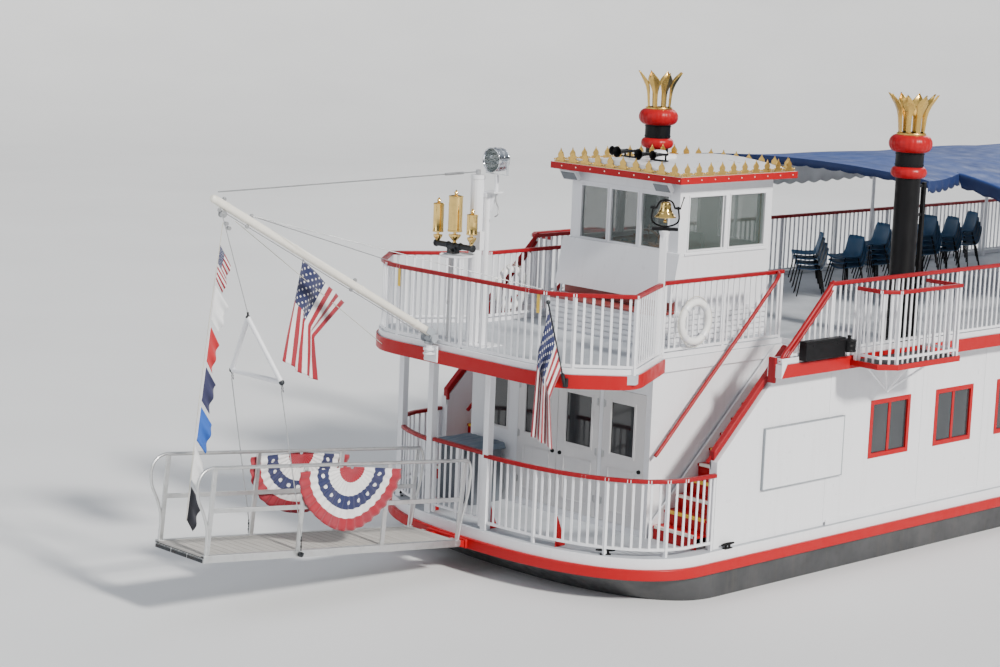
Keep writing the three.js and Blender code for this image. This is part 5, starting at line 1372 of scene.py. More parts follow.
# %% Landing stage
STAGE_PITCH = math.radians(5.8)
STAGE_FRAME = Matrix.Translation((9.26, STAGE_Y, 1.13)) @ Matrix.Rotation(-STAGE_PITCH, 4, "Y")
frame_bm, floor_bm, dark_bm = bmesh.new(), bmesh.new(), bmesh.new()
for side in (1, -1):
    side_box(frame_bm, side, (0.06, 0.517, -0.095), (4.5, 0.525, 0.0), STAGE_FRAME)
    side_box(frame_bm, side, (0.06, 0.455, -0.008), (4.5, 0.520, 0.0), STAGE_FRAME)
    side_box(frame_bm, side, (0.06, 0.455, -0.095), (4.5, 0.520, -0.087), STAGE_FRAME)
    for s in (0.1, 1.5, 2.96, 4.44):
        edge = side * 0.495
        box(frame_bm, (s - 0.032, edge - 0.014, -0.02), (s + 0.032, edge + 0.014, 1.11), STAGE_FRAME)
        box(frame_bm, (s - 0.045, side * 0.520 - 0.008, -0.075), (s + 0.045, side * 0.520 + 0.008, -0.015),
            STAGE_FRAME)
    box(frame_bm, (0.1, side * 0.495 - 0.012, 0.54), (4.44, side * 0.495 + 0.012, 0.60), STAGE_FRAME)
for s0, s1 in ((0.06, 0.10), (1.48, 1.54), (2.93, 2.99), (4.44, 4.50)):
    box(frame_bm, (s0, -0.517, -0.094), (s1, 0.517, -0.036), STAGE_FRAME)
for i in range(30):
    s = 0.105 + i * 0.1463
    box(floor_bm, (s, -0.452, -0.030), (s + 0.1425, 0.452, -0.003), STAGE_FRAME)
for y in (-0.3, 0.3):
    crossbar(frame_bm, (HINGE_X, STAGE_Y + y, HINGE_Z), 0.03, 0.035, 24)
    box(frame_bm, (9.255, STAGE_Y + y - 0.03, 1.045), (9.34, STAGE_Y + y + 0.03, 1.11))
for y0 in (-0.50, -0.16, 0.18):
    box(dark_bm, (4.46, y0, -0.094), (4.508, y0 + 0.32, -0.052), STAGE_FRAME)
    rod(dark_bm, (4.485, y0, -0.045), (4.485, y0 + 0.32, -0.045), 0.016, 12, STAGE_FRAME)
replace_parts(piece("stage_frame", frame_bm, ALUMINIUM, "stage", bevel=0.0025, smooth=30),
            "landing_stage")
piece("stage_floor", floor_bm, planks("stage_planks_across", (0.47, 0.45, 0.42), 0.1463, axis=1, dark=0.8),
      "stage",
      bevel=0.004)
piece("stage_toe", dark_bm, IRON, "stage", bevel=0.003, smooth=40)
HOOP_OUT = [(-0.06, 1.12), (-0.01, 1.12), (0.15, 1.03), (0.18, 0.79), (0.04, 0.50), (-0.025, 0.32),
            (-0.04, 0.0)]
HOOP_IN = [(0.12, 1.12), (0.07, 1.12), (-0.005, 1.03), (-0.025, 0.79), (0.01, 0.50), (0.05, 0.32),
           (0.085, 0.0)]
rails, hoops = [], []
for side in (1, -1):
    at = lambda s, up: tuple(STAGE_FRAME @ Vector((s, side * 0.495, up)))
    rails.append([at(0.07, 1.12), at(4.48, 1.12)])
    hoops.append([at(4.5 + s, up) for s, up in HOOP_OUT])
    hoops.append([at(s, up) for s, up in HOOP_IN])
tube("stage_hand_rails", rails, 0.024, ALUMINIUM, "stage", resolution=5, smooth_path=False)
tube("stage_hoops", hoops, 0.020, ALUMINIUM, "stage", resolution=5)

# %% Spreader and its wires
SPREAD_TOP = Vector((12.72, STAGE_Y, 4.47))
ends = [Vector((12.56, STAGE_Y + side * 0.52, 3.69)) for side in (1, -1)]
spread = [[tuple(SPREAD_TOP), tuple(end)] for end in ends] + [[tuple(ends[0]), tuple(ends[1])]]
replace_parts(tube("spreader_tubes", spread, 0.032, WHITE, "stage", resolution=5,
                 smooth_path=False),
            "hoist_spreader")
eyes = [STAGE_FRAME @ Vector((2.95, side * 0.555, -0.03)) for side in (1, -1)]
wires = [[tuple(end - Vector((0, 0, 0.12))), tuple(eye + Vector((0, 0, 0.22)))] for end,
         eye in zip(ends, eyes)]
tube("spreader_wires", wires, 0.007, GALVANISED, "stage", resolution=2, smooth_path=False)
bm = bmesh.new()
for end, eye in zip(ends, eyes):
    ball(bm, end, 0.038, 16)
    down = (eye - end).normalized()
    for step in range(3):
        link = end + down * (0.03 + step * 0.035)
        rod(bm, link - Vector((0.004, 0.014, 0)), link + Vector((0.004, -0.014, 0)) + down * 0.03, 0.005, 8)
        rod(bm, link - Vector((0.004, -0.014, 0)), link + Vector((0.004, 0.014, 0)) + down * 0.03, 0.005, 8)
    for step in range(5):
        link = eye + Vector((0, 0, 0.03 + step * 0.04))
        rod(bm, link, link + Vector((0, 0, 0.034)), 0.012 if step % 2 else 0.008, 8)
    crossbar(bm, eye, 0.05, 0.014, 12)
    rod(bm, eye - Vector((0.0, 0.02, 0.02)), eye + Vector((0.0, 0.02, -0.02)), 0.035, 16)
spun(bm, [(0.0, -0.034), (0.022, -0.026), (0.034, 0.0), (0.024, 0.024), (0.0, 0.032)], 20,
     Matrix.Translation(SPREAD_TOP))
rod(bm, SPREAD_TOP + Vector((0, 0, 0.02)), SPREAD_TOP + Vector((0.006, 0, 0.07)), 0.014, 12)
piece("spreader_shackles", bm, IRON, "stage", smooth=40)

# %% [markdown]
# Cloth comes next. A flag is cut as a rectangle, so each starts as a grid with its own UV map, u along the
# fly and v across it, and the pattern is drawn in that map. The grid is then moved to where the cloth
# hangs: its hoist stays on the line, and folds deepen towards the free end.

# %% Cloth sheets and their patterns


def uv_weave(n):
    """UV axes, and a fine weave bump on them."""
    across = n.axes(n.add("ShaderNodeTexCoord").outputs["UV"])
    warp = n.add("ShaderNodeTexWave", {"Vector": n.place, "Scale": 420.0, "Distortion": 0.5}).outputs["Fac"]
    n.bump(warp, 0.0003, 0.4)
    return across


def spots(n, a, b, size=0.05):
    """Round spots on a square lattice of whole numbers of a and b."""
    x = n.maths("SUBTRACT", n.maths("FRACT", a), 0.5)
    y = n.maths("SUBTRACT", n.maths("FRACT", b), 0.5)
    distance = n.maths("ADD", n.maths("MULTIPLY", x, x), n.maths("MULTIPLY", y, y))
    return n.maths("LESS_THAN", distance, size)


FLAG_RED, FLAG_BLUE, FLAG_WHITE = (0.30, 0.005, 0.018), (0.006, 0.013, 0.075), (0.74, 0.73, 0.73)


def striped_flag(name):
    n = Nodes(name)
    fly, hoist, _ = uv_weave(n)
    stripe = n.maths("MODULO", n.maths("FLOOR", n.maths("MULTIPLY", hoist, 13.0)), 2.0)
    field = n.mix(stripe, FLAG_RED, FLAG_WHITE)
    in_union = n.maths("MULTIPLY", n.maths("LESS_THAN", fly, 0.40), n.maths("LESS_THAN", hoist, 7 / 13))
    column, row = n.maths("MULTIPLY", fly, 11 / 0.40), n.maths("MULTIPLY", hoist, 9 * 13 / 7)
    whole_steps = n.maths("ADD", n.maths("FLOOR", column), n.maths("FLOOR", row))
    in_row = n.maths("LESS_THAN", n.maths("MODULO", whole_steps, 2.0), 0.5)
    star = n.maths("MULTIPLY", in_row, spots(n, column, row, 0.07))
    whole = n.mix(in_union, field, n.mix(star, FLAG_BLUE, FLAG_WHITE))
    shade = n.band(n.noise(3.0, 4), 0.35, 0.8, 0.0, 0.22)
    n.link(n.mix(shade, whole, (0.10, 0.09, 0.10)), "Base Color")
    return n.set(Roughness=0.72, Sheen_Weight=0.2)


def fan_bunting(name):
    n = Nodes(name)
    reach, turn, _ = uv_weave(n)
    ramp = n.add("ShaderNodeValToRGB", {"Fac": reach})
    ramp.color_ramp.interpolation = "CONSTANT"
    stops = [(0.0, FLAG_RED), (0.22, FLAG_WHITE), (0.44, FLAG_BLUE), (0.66, FLAG_WHITE), (0.80, FLAG_RED)]
    while len(ramp.color_ramp.elements) < len(stops):
        ramp.color_ramp.elements.new(0.5)
    for element, (place, colour) in zip(ramp.color_ramp.elements, stops):
        element.position = place
        element.color = (*colour, 1)
    band = n.maths("MULTIPLY", n.maths("GREATER_THAN", reach, 0.45), n.maths("LESS_THAN", reach, 0.65))
    star = spots(n, n.maths("MULTIPLY", n.maths("SUBTRACT", reach, 0.45), 5.0),
                 n.maths("MULTIPLY", turn, 9.0), 0.028)
    whole = n.mix(n.maths("MULTIPLY", band, star), ramp.outputs["Color"], FLAG_WHITE)
    shade = n.band(n.noise(5.0, 4), 0.35, 0.8, 0.0, 0.25)
    n.link(n.mix(shade, whole, (0.12, 0.10, 0.12)), "Base Color")
    return n.set(Roughness=0.72, Sheen_Weight=0.2)


def plain_flag(name, colour):
    n = Nodes(name)
    fly, hoist, _ = uv_weave(n)
    heading = n.maths("LESS_THAN", fly, 0.06)
    shade = n.band(n.noise(5.0, 4), 0.3, 0.8, 0.0, 0.35)
    cloth_tone = n.mix(shade, colour, tuple(c * 0.5 for c in colour))
    n.link(n.mix(heading, cloth_tone, FLAG_WHITE), "Base Color")
    return n.set(Roughness=0.72, Sheen_Weight=0.2)


def sheet(name, place, columns, rows, material, body):
    """A grid of cloth; place(u, v) says where each point of it hangs."""
    bm = bmesh.new()
    bm.loops.layers.uv.new("UVMap")
    bmesh.ops.create_grid(bm, x_segments=columns, y_segments=rows, size=0.5, calc_uvs=True)
    for vert in bm.verts:
        vert.co = place(vert.co.x + 0.5, vert.co.y + 0.5)
    mesh = bpy.data.meshes.new(name)
    bm.to_mesh(mesh)
    bm.free()
    mesh.materials.append(material)
    mesh.shade_smooth()
    obj = shown(name, mesh)
    thicken(obj, 0.003, offset=0)
    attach(obj, body)
    return obj


# %% [markdown]
# The large flag hangs from the halyard under the boom. Its upper half falls straight, and its lower half is
# drawn to the middle before it falls, which makes the diagonal stripes at its right. The staff flag hangs
# limp in three folds.

# %% Large flag and staff flag
STRIPED = striped_flag("striped_flag_cloth")
HALYARD_FROM, HALYARD_TO = Vector((12.95, STAGE_Y, 5.72)), Vector((9.45, -1.58, 3.67))
plan = Vector((HALYARD_TO.x - HALYARD_FROM.x, HALYARD_TO.y - HALYARD_FROM.y, 0)).normalized()
outwards = Vector((-plan.y, plan.x, 0))


def on_halyard(along, z):
    return Vector((HALYARD_FROM.x, HALYARD_FROM.y, z)) + plan * along


def large_flag(u, v):
    upper = on_halyard(1.569, 5.09).lerp(on_halyard(1.202, 3.76), u)
    if u < 0.42:
        lower = on_halyard(2.648, 4.38).lerp(on_halyard(1.911, 3.989), u / 0.42)
    else:
        lower = on_halyard(1.911, 3.989).lerp(on_halyard(1.99, 3.39), (u - 0.42) / 0.58)
    here = upper.lerp(lower, v)
    deep = 0.010 + 0.034 * min(1.0, u * 1.4)
    return here + outwards * deep * math.sin(v * 15.0 + 1.2 * u) + Vector((0, 0,
                                                                           -0.03 * u * math.sin(v * math.pi)))


flag = sheet("large_flag", large_flag, 44, 40, STRIPED, "boom_spar")
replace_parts(flag, "boom_flag")
STAFF_FOOT, STAFF_TIP = Vector((9.31, 1.90, 3.68)), Vector((9.66, 1.90, 4.72))


def staff_flag(u, v):
    hoist = STAFF_TIP.lerp(STAFF_FOOT, 0.03 + 0.82 * v)
    fall = u ** 0.9
    gather = min(1.0, u / 0.3)
    middle = STAFF_TIP + Vector((0.02, -0.02, 0))
    free = middle + Vector((0.07 - 0.16 * v, -0.11 + 0.25 * v, 0)) * (0.45 + 0.55 * u)
    flat_place = hoist.lerp(free, gather)
    flat_place.z = hoist.z * (1 - fall) + (2.98 - 0.16 * v) * fall
    fold = 0.062 * gather * math.sin(v * 15.0 + 0.8 * u)
    return flat_place + Vector((0.7, 0.7, 0)) * fold


sheet("staff_flag", staff_flag, 40, 36, STRIPED, "boat")
bm = bmesh.new()
rod(bm, STAFF_FOOT, STAFF_TIP + Vector((0, 0, 0.02)), 0.012, 12)
ball(bm, STAFF_TIP + Vector((0.004, 0, 0.04)), 0.03)
rod(bm, STAFF_FOOT - Vector((0.03, 0, 0.06)), STAFF_FOOT + Vector((0.03, 0, 0.10)), 0.026, 16)
box(bm, (9.262, 1.86, 3.60), (9.30, 1.94, 3.72))
piece("flag_staff", bm, IRON, "boat", smooth=40)

# %% [markdown]
# From the boom's tip a line of seven small flags runs down to the end of the stage. Each hangs limp from
# its hoist, and only its colour differs, so one function places them all along the line.

# %% Signal flags
LINE_TOP, LINE_END = Vector((13.15, STAGE_Y, 5.72)), Vector((13.64, STAGE_Y, 1.92))
SIGNALS = [("striped", STRIPED), ("white", plain_flag("signal_white", (0.74, 0.75, 0.76))),
           ("red", plain_flag("signal_red", (0.48, 0.012, 0.02))),
           ("navy", plain_flag("signal_navy", (0.02, 0.022, 0.075))),
           ("blue", plain_flag("signal_blue", (0.012, 0.09, 0.42))),
           ("pale", plain_flag("signal_pale", (0.74, 0.75, 0.76))),
           ("black", plain_flag("signal_black", (0.012, 0.013, 0.022)))]
for i, (tone, material) in enumerate(SIGNALS):
    top = LINE_TOP.lerp(LINE_END, 0.075 + i * 0.134)
    low = LINE_TOP.lerp(LINE_END, 0.075 + i * 0.134 + 0.115)

    def signal(u, v, top=top, low=low, i=i):
        hoist = top.lerp(low, v)
        away = Vector((-0.17, 0.05 * math.sin(i * 2.1), -0.27)) * u * (1.0 - 0.30 * v)
        return hoist + away + Vector((0.3, 1.0, 0)) * 0.035 * u * math.sin(v * 11.0 + i)

    sheet(f"signal_{tone}", signal, 14, 16, material, "boom_spar")
line = [tuple(LINE_TOP.lerp(LINE_END,
                            k / 12) + Vector((0.03 * math.sin(math.pi * k / 12), 0, 0))) for k in range(13)]
tube("signal_line",
     [line, [tuple(HALYARD_FROM), tuple(HALYARD_FROM.lerp(HALYARD_TO, 0.5)), tuple(HALYARD_TO)]], 0.005,
     ROPE, "boom_spar", resolution=2)

# %% [markdown]
# Two fans of pleated bunting are tied under the stage's hand rails. A fan is a half disc: the grid's first
# axis is the radius and the second the angle, and the pleats are waves in the angle that grow with the
# radius.

# %% Bunting
BUNTING = fan_bunting("bunting_cloth")
for name, side in (("port", 1), ("starboard", -1)):
    def fan(u, v, side=side):
        angle = math.pi * v
        pleat = math.sin(v * math.pi * 2 * 17)
        reach = (0.03 + 0.82 * u) * (1.0 + 0.002 * pleat * u + 0.02 * u * math.sin(v * 13.0 + side))
        sag = -0.05 * u * abs(math.cos(angle)) ** 4
        local = Vector((2.2 + 0.87 * reach / 0.85 * math.cos(angle),
                        side * (0.532 + 0.014 * pleat * u ** 0.7),
                        1.09 + sag - reach * math.sin(angle)))
        return STAGE_FRAME @ local

    bunting = sheet(f"bunting_fan_{name}", fan, 16, 120, BUNTING, "stage")
    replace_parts(bunting, f"bunting_{name}")

# %% [markdown]
# The chimneys are black tubes with two red rings. On the real ones the rings are welded from gores, so the
# spun rings are drawn in a little along each seam. The neck between them is a riveted band. The crowns are
# eight gilded blades of folded plate: narrow stems that open into spear heads and lean outwards.

# %% Chimneys
STACK_BASES = {"port": Vector((2.85, 2.5, 0)), "starboard": Vector((2.85, -2.5, 0))}
CROWN_Z = 6.8154


def half_round(low, high, inner, outer, steps=14):
    """Profile of a ring whose outer side is a half ellipse."""
    middle, half = (low + high) / 2, (high - low) / 2
    return [(inner + (outer - inner) * math.cos(a), middle + half * math.sin(a))
            for a in (-math.pi / 2 + math.pi * k / steps for k in range(steps + 1))]


def blade(u, v):
    """Half width, radius and height of the folded blade, at u across it and v along it."""
    widths = [(0.0, 0.036), (0.42, 0.040), (0.56, 0.062), (0.70, 0.098), (0.80, 0.088), (0.90, 0.045),
              (1.0, 0.002)]
    radii = [(0.0, 0.196), (0.42, 0.208), (0.56, 0.224), (0.70, 0.256), (0.85, 0.312), (1.0, 0.366)]

    def along(table):
        for (a, low), (b, high) in zip(table, table[1:]):
            if v <= b:
                return low + (high - low) * (v - a) / (b - a)
        return table[-1][1]

    across = (u - 0.5) * 2
    fold = 0.030 * (1 - abs(across)) * min(1.0, 0.35 + v)
    return along(widths) * across, along(radii) + fold - 0.012, 0.012 + 0.585 * v


for name, base in STACK_BASES.items():
    stand = Matrix.Translation(base)
    bm = bmesh.new()
    spun(bm,
         [(0.0, 3.772), (0.258, 3.772), (0.26, 3.780), (0.26, 3.795), (0.192, 3.80), (0.185, 3.815),
          (0.185, 6.19),
              (0.205, 6.20), (0.205, 6.33), (0.208, 6.345), (0.208, 6.56), (0.214, 6.565), (0.214, 6.80),
          (0.19, 6.815),
              (0.0, 6.815)], 48, stand)
    for k in range(24):
        a = 2 * math.pi * k / 24
        for z in (6.375, 6.535):
            bmesh.ops.create_icosphere(bm, subdivisions=1, radius=0.010,
                                       matrix=stand @ Matrix.Translation((0.208 * math.cos(a),
                                                                          0.208 * math.sin(a), z)))
    for k in range(12):
        a = 2 * math.pi * k / 12
        rod(bm, base + Vector((0.235 * math.cos(a), 0.235 * math.sin(a), 3.79)),
            base + Vector((0.235 * math.cos(a), 0.235 * math.sin(a), 3.812)), 0.012, 6)
    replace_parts(piece(f"chimney_{name}_tube", bm, BLACK, "boat", smooth=35), f"stack_{name}")
    bm = bmesh.new()
    for low, high, inner, outer, gores in ((6.18, 6.35, 0.186, 0.265, 18), (6.56, 6.815, 0.209, 0.320, 24)):
        profile = half_round(low, high, inner, outer)
        made = spun(bm, [*profile, (inner, low)], gores * 5)
        for vert in made:
            turn = math.atan2(vert.co.y, vert.co.x)
            seam = abs(math.cos(turn * gores / 2)) ** 8
            shrink = 1 - 0.020 * seam * max(0.0, (vert.co.xy.length - inner) / (outer - inner))
            vert.co.x *= shrink
            vert.co.y *= shrink
    bmesh.ops.transform(bm, matrix=stand, verts=bm.verts)
    piece(f"chimney_{name}_rings", bm, RED, "boat", smooth=50)
    bm = bmesh.new()
    for k in range(8):
        turn = Matrix.Rotation((k + 0.5) * math.pi / 4, 4, "Z")
        grid = bmesh.ops.create_grid(bm, x_segments=8, y_segments=18, size=0.5)["verts"]
        for vert in grid:
            width, radius, height = blade(vert.co.x + 0.5, vert.co.y + 0.5)
            vert.co = (radius, width, CROWN_Z + height)
        bmesh.ops.transform(bm, matrix=stand @ turn, verts=grid)
    spun(bm,
         [(0.19, CROWN_Z + 0.001), (0.216, CROWN_Z + 0.001), (0.218, CROWN_Z + 0.018),
          (0.212, CROWN_Z + 0.03),
              (0.19, CROWN_Z + 0.03)], 40, stand)
    crown = piece(f"chimney_{name}_crown", bm, GOLD, "boat", smooth=28)
    thicken(crown, 0.006)
    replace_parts(crown, f"stack_crown_{name}")
bm = bmesh.new()
for side in (1, -1):
    box(bm, (2.42, side * 2.5 - 0.03, 3.772), (2.48, side * 2.5 + 0.03, 6.10))
    for z in (6.05, 5.62, 4.62):
        box(bm, (2.48, side * 2.5 - 0.02, z - 0.02), (2.67, side * 2.5 + 0.02, z + 0.02))
    box(bm, (2.38, side * 2.5 - 0.07, 3.772), (2.52, side * 2.5 + 0.07, 3.785))
piece("chimney_stays", bm, BLACK, "boat", bevel=0.004)

# %% [markdown]
# The canopy is one sheet of coated cloth over arched bows. Its main part covers the full width. The fore
# part runs between the chimneys: it is narrower, and it flattens towards its front bow. Between the bows
# the cloth sags by two centimetres, at the bows it shows a stitched seam, and every free edge ends in a
# scalloped valance. It is lined in pale cloth, so the sheet is given a thickness whose inner face takes the
# lining.

# %% Canopy frame
MAIN_X, FRONT_X, AFT_X, MAIN_HALF = 0.45, 2.10, -8.45, 2.946
BOW_STATIONS = (0.39, -3.45, -7.07, -8.39)


def skin_height(x, y):
    """Height of the cloth's outer face."""
    main = 6.225 - 0.047 * y * y
    if x <= MAIN_X:
        ahead = next((b for b in BOW_STATIONS if b >= x), MAIN_X)
        behind = next((b for b in BOW_STATIONS if b < x), AFT_X)
        return main - 0.030 * math.sin(math.pi * (ahead - x) / max(0.1, ahead - behind)) ** 2
    t = min(1.0, (x - MAIN_X) / (FRONT_X - MAIN_X))
    return main * (1 - t) + (6.20 - 0.020 * y * y) * t - 0.015 * math.sin(math.pi * t)


def bow_line(x, half, low, count=16):
    ys = [half * (1 - 2 * k / count) for k in range(count + 1)]
    return [(x, y, skin_height(x, y) - low) for y in ys]


posts = [[(x, side * 2.83, 3.772), (x, side * 2.83, 5.79)] for x in BOW_STATIONS for side in (1, -1)]
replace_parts(tube("canopy_posts", posts, 0.032, WHITE, "boat", smooth_path=False),
            "canopy_frame")
bars = [bow_line(x, 2.83, 0.045) for x in BOW_STATIONS] + [bow_line(2.04, 2.20, 0.045)]
bars += [[(AFT_X + 0.03, side * 2.83, 5.792), (MAIN_X - 0.03, side * 2.83, 5.792)] for side in (1, -1)]
bars += [[(0.39, side * 1.61, 6.046), (2.04, side * 2.20, 6.046), (2.04, side * 2.20, 5.868),
          (2.45, side * 2.5, 5.868)]
         for side in (1, -1)]
bars.append([(0.39, 0, 6.17), (2.04, 0, 6.145)])
tube("canopy_bows", bars, 0.020, WHITE, "boat", resolution=3, smooth_path=False)
feet = bmesh.new()
for x in BOW_STATIONS:
    for y in (2.83, -2.83):
        rod(feet, (x, y, 3.772), (x, y, 3.782), 0.07, 20)
        rod(feet, (x, y, 3.78), (x, y, 3.83), 0.042, 20)
piece("canopy_feet", feet, WHITE, "boat", smooth=40)

# %% Canopy cloth
SCALLOP, ROOF_PART = 0.34, 0.93


def panel(bm, aft, front, half_at, side_drop, front_drop, columns, rows):
    """A part of the sheet: an arched roof whose sides, and the fore edge where it is free, turn down."""
    grid = bmesh.ops.create_grid(bm, x_segments=columns, y_segments=rows, size=0.5)["verts"]
    for vert in grid:
        u, across = vert.co.x + 0.5, vert.co.y * 2
        x = aft + (front - aft) * min(1.0, u / 0.97)
        at_front, at_side = max(0.0, (u - 0.97) / 0.03), max(0.0,
                                                             (abs(across) - ROOF_PART) / (1 - ROOF_PART))
        half = half_at(x)
        y = math.copysign(min(1.0, abs(across) / ROOF_PART) * half, across)
        wave = 0.045 * abs(math.sin(math.pi * (x if at_side else y) / SCALLOP))
        drop = max(at_side * (side_drop + wave), at_front * front_drop(y) * (1 + wave * 6))
        ripple = 0.007 * math.sin(2 * math.pi * (x if at_side else y) / SCALLOP)
        out = math.copysign(0.012 + ripple, across) * at_side
        vert.co = (x + (0.012 + ripple) * at_front, y + out, skin_height(x, y) - drop)


def canopy_cloth():
    n = Nodes("canopy_cloth_seams")
    x, y, z = n.axes()
    seam = n.maths("PINGPONG", n.maths("DIVIDE", n.maths("SUBTRACT", x, MAIN_X), 0.95), 0.5)
    stitched = n.band(seam, 0.0, 0.03, 1.0, 0.0)
    tone = n.mix(n.band(n.noise(0.7, 4), 0.3, 0.7), (0.005, 0.045, 0.22), (0.004, 0.034, 0.17))
    upwards = n.axes(n.add("ShaderNodeNewGeometry").outputs["Normal"])[2]
    # Upright and downward-facing cloth, such as the valance, is mixed to a darker blue: a painted shade for
    # faces turned from the sky.
    painted_side_shade = n.band(upwards, 0.25, 0.6, 0.75, 0.0)
    base = n.mix(painted_side_shade, n.mix(stitched, tone, (0.003, 0.018, 0.09)), (0.004, 0.013, 0.065))
    dust = n.band(n.noise(2.0, 6, 0.65, n.stretched(0.6, 3.0, 1.0)), 0.5, 0.85, 0.0, 0.10)
    n.link(n.mix(dust, base, (0.06, 0.12, 0.26)), "Base Color")
    n.bump(n.maths("ADD", n.maths("MULTIPLY", stitched, 1.5), n.noise(260.0, 2)), 0.0012, 0.5)
    n.link(n.band(n.noise(4.0, 3), 0.3, 0.7, 0.55, 0.75), "Roughness")
    return n.material


def finish_sheet(name, bm, materials, thickness):
    """A sheet object of a bmesh, with its thickness growing inwards and the lining on its inner face."""
    obj = piece(name, bm, materials, "boat", smooth=60)
    thicken(obj, thickness, offset=-1, material_offset=1)
    return obj


bm = bmesh.new()
panel(bm, AFT_X, MAIN_X, lambda x: MAIN_HALF, 0.36, lambda y: 0.18 if abs(y) > 1.71 else 0.0, 190, 60)
fore_half = lambda x: 1.72 + 0.61 * (x - MAIN_X) / (FRONT_X - MAIN_X)
panel(bm, MAIN_X - 0.03, FRONT_X, fore_half, 0.15, lambda y: 0.10, 60, 60)
canopy = finish_sheet("canopy_sheet", bm, [canopy_cloth(), LINING], 0.005)
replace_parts(canopy, "canopy_top")

# %% [markdown]
# Moulded chairs stand in stacks under the canopy. One shell is a grid bent into seat and back, with rolled
# edges, on a bent-tube frame, and the stacks repeat it a little higher and further forward each time.

# %% Stacked chairs
CHAIR_BLUE = painted("chair_blue", (0.006, 0.080, 0.19), 0.45, 0.08, coat=0.08)


def chair_point(u, v):
    """Seat shell: v runs from the seat's front edge over the bend to the top of the back."""
    across = (u - 0.5) * 2
    line = [(0.0, 0.21, 0.425), (0.12, 0.20, 0.445), (0.45, -0.02, 0.43), (0.60, -0.17, 0.445),
            (0.70, -0.22, 0.52),
            (0.85, -0.255, 0.66), (1.0, -0.285, 0.80)]
    for (a, x0, z0), (b, x1, z1) in zip(line, line[1:]):
        if v <= b:
            t = (v - a) / (b - a)
            x, z = x0 + (x1 - x0) * t, z0 + (z1 - z0) * t
            break
    half = 0.215 - 0.03 * max(0.0, v - 0.6) - 0.03 * (max(0.0, v - 0.9) * 10) ** 2
    dish = 0.035 * across ** 2
    return Vector((x + (dish if v > 0.6 else 0), half * across, z + (dish if v <= 0.6 else 0)))


shells, legs = bmesh.new(), bmesh.new()
STACKS = [((0.45, -1.10), 4, 315), ((-0.35, -0.95), 3, 350), ((-1.15, -0.95), 5, 345),
          ((-2.30, -1.20), 4, 330),
          ((-3.05, -1.35), 5, 350), ((-3.90, -1.50), 4, 340), ((-5.0, -1.85), 4, 335),
          ((-2.6, 1.9), 4, 200)]
for (x, y), count, heading in STACKS:
    turn = Matrix.Translation((x, y, UPPER_Z + 0.004)) @ Matrix.Rotation(math.radians(heading), 4, "Z")
    for level in range(count):
        lift = turn @ Matrix.Translation((0.035 * level, 0, 0.085 * level))
        grid = bmesh.ops.create_grid(shells, x_segments=8, y_segments=14, size=0.5)["verts"]
        for vert in grid:
            vert.co = lift @ chair_point(vert.co.x + 0.5, vert.co.y + 0.5)
        for side in (-1, 1):
            for foot, top in (((0.23, 0.225, 0.0), (0.15, 0.16, 0.43)),
                              ((-0.24, 0.225, 0.0), (-0.16, 0.16, 0.44))):
                rod(legs, (foot[0], foot[1] * side, foot[2]), (top[0], top[1] * side, top[2]), 0.011, 6,
                    lift)
shell = piece("chair_shells", shells, CHAIR_BLUE, "boat", smooth=50)
thicken(shell, 0.006)
piece("chair_legs", legs, BLACK, "boat", smooth=40)

# %% [markdown]
# The paddle wheel turns on a shaft between two beams behind the stern. Its three spiders are pairs of flat
# arms bolted to iron hubs, held apart by rings, and the twelve boards are each two planks clamped on by
# bolts through the arms. Thin tie rods run from the middle hub to the outer rings and keep the wheel
# square.

# %% Paddle wheel
WHEEL_AT, BOARDS = Vector((-11.1, 0, 1.76)), 12
SPIDERS = (-1.78, 0.0, 1.78)
ABOUT_Y = Matrix.Translation(WHEEL_AT) @ QUARTER_X


def band_profile(inner, outer, y, half):
    return [(inner, y - half), (outer, y - half), (outer, y + half), (inner, y + half), (inner, y - half)]


boards, arms, iron = bmesh.new(), bmesh.new(), bmesh.new()
spun(iron, [(0, -2.23), (0.060, -2.23), (0.070, -2.22), (0.070, 2.22), (0.060, 2.23), (0, 2.23)], 28,
     ABOUT_Y)
for y in SPIDERS:
    hub = [(0.07, -0.10), (0.105, -0.10), (0.11, -0.06), (0.19, -0.058), (0.19, -0.046), (0.13, -0.045)]
    spun(iron, [(r, y + h) for r, h in hub] + [(r, y - h) for r, h in reversed(hub)], 36, ABOUT_Y)
    spun(arms, band_profile(1.112, 1.168, y, 0.010), 72, ABOUT_Y)
    spun(arms, band_profile(0.60, 0.636, y, 0.010), 60, ABOUT_Y)
for y in (-1.95, 1.95):
    spun(iron, band_profile(0.069, 0.11, y, 0.025), 28, ABOUT_Y)
for i in range(BOARDS):
    turn = Matrix.Translation(WHEEL_AT) @ Matrix.Rotation(-2 * math.pi * i / BOARDS, 4, "Y")
    for low, high in ((1.062, 1.246), (1.254, 1.438)):
        box(boards, (low, -1.9, 0.020), (high, 1.9, 0.060), turn)
    for y in SPIDERS:
        for side in (-1, 1):
            near, far = sorted((y + side * 0.012, y + side * 0.044))
            box(arms, (0.10, near, -0.026), (1.40, far, 0.019), turn)
            for reach in (1.10, 1.20, 1.30, 1.39):
                rod(iron, (reach, y + side * 0.028, -0.034), (reach, y + side * 0.028, 0.074), 0.010, 6,
                    turn)
            rod(iron, (0.155, y + side * 0.064, 0), (0.155, y + side * 0.04, 0), 0.014, 6, turn)
        if y:
            rod(iron, (1.14, y - math.copysign(0.05, y), 0), (0.17, math.copysign(0.07, y), 0), 0.010, 8,
                turn)
piece("paddle_wheel_iron", iron, IRON, "wheel", smooth=35)
piece("paddle_wheel_arms", arms, RED, "wheel", bevel=0.003, smooth=35, segments=1)
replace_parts(piece("paddle_wheel_boards", boards, WHEEL_BOARDS, "wheel", bevel=0.004,
                  segments=1),
            "paddle_wheel")

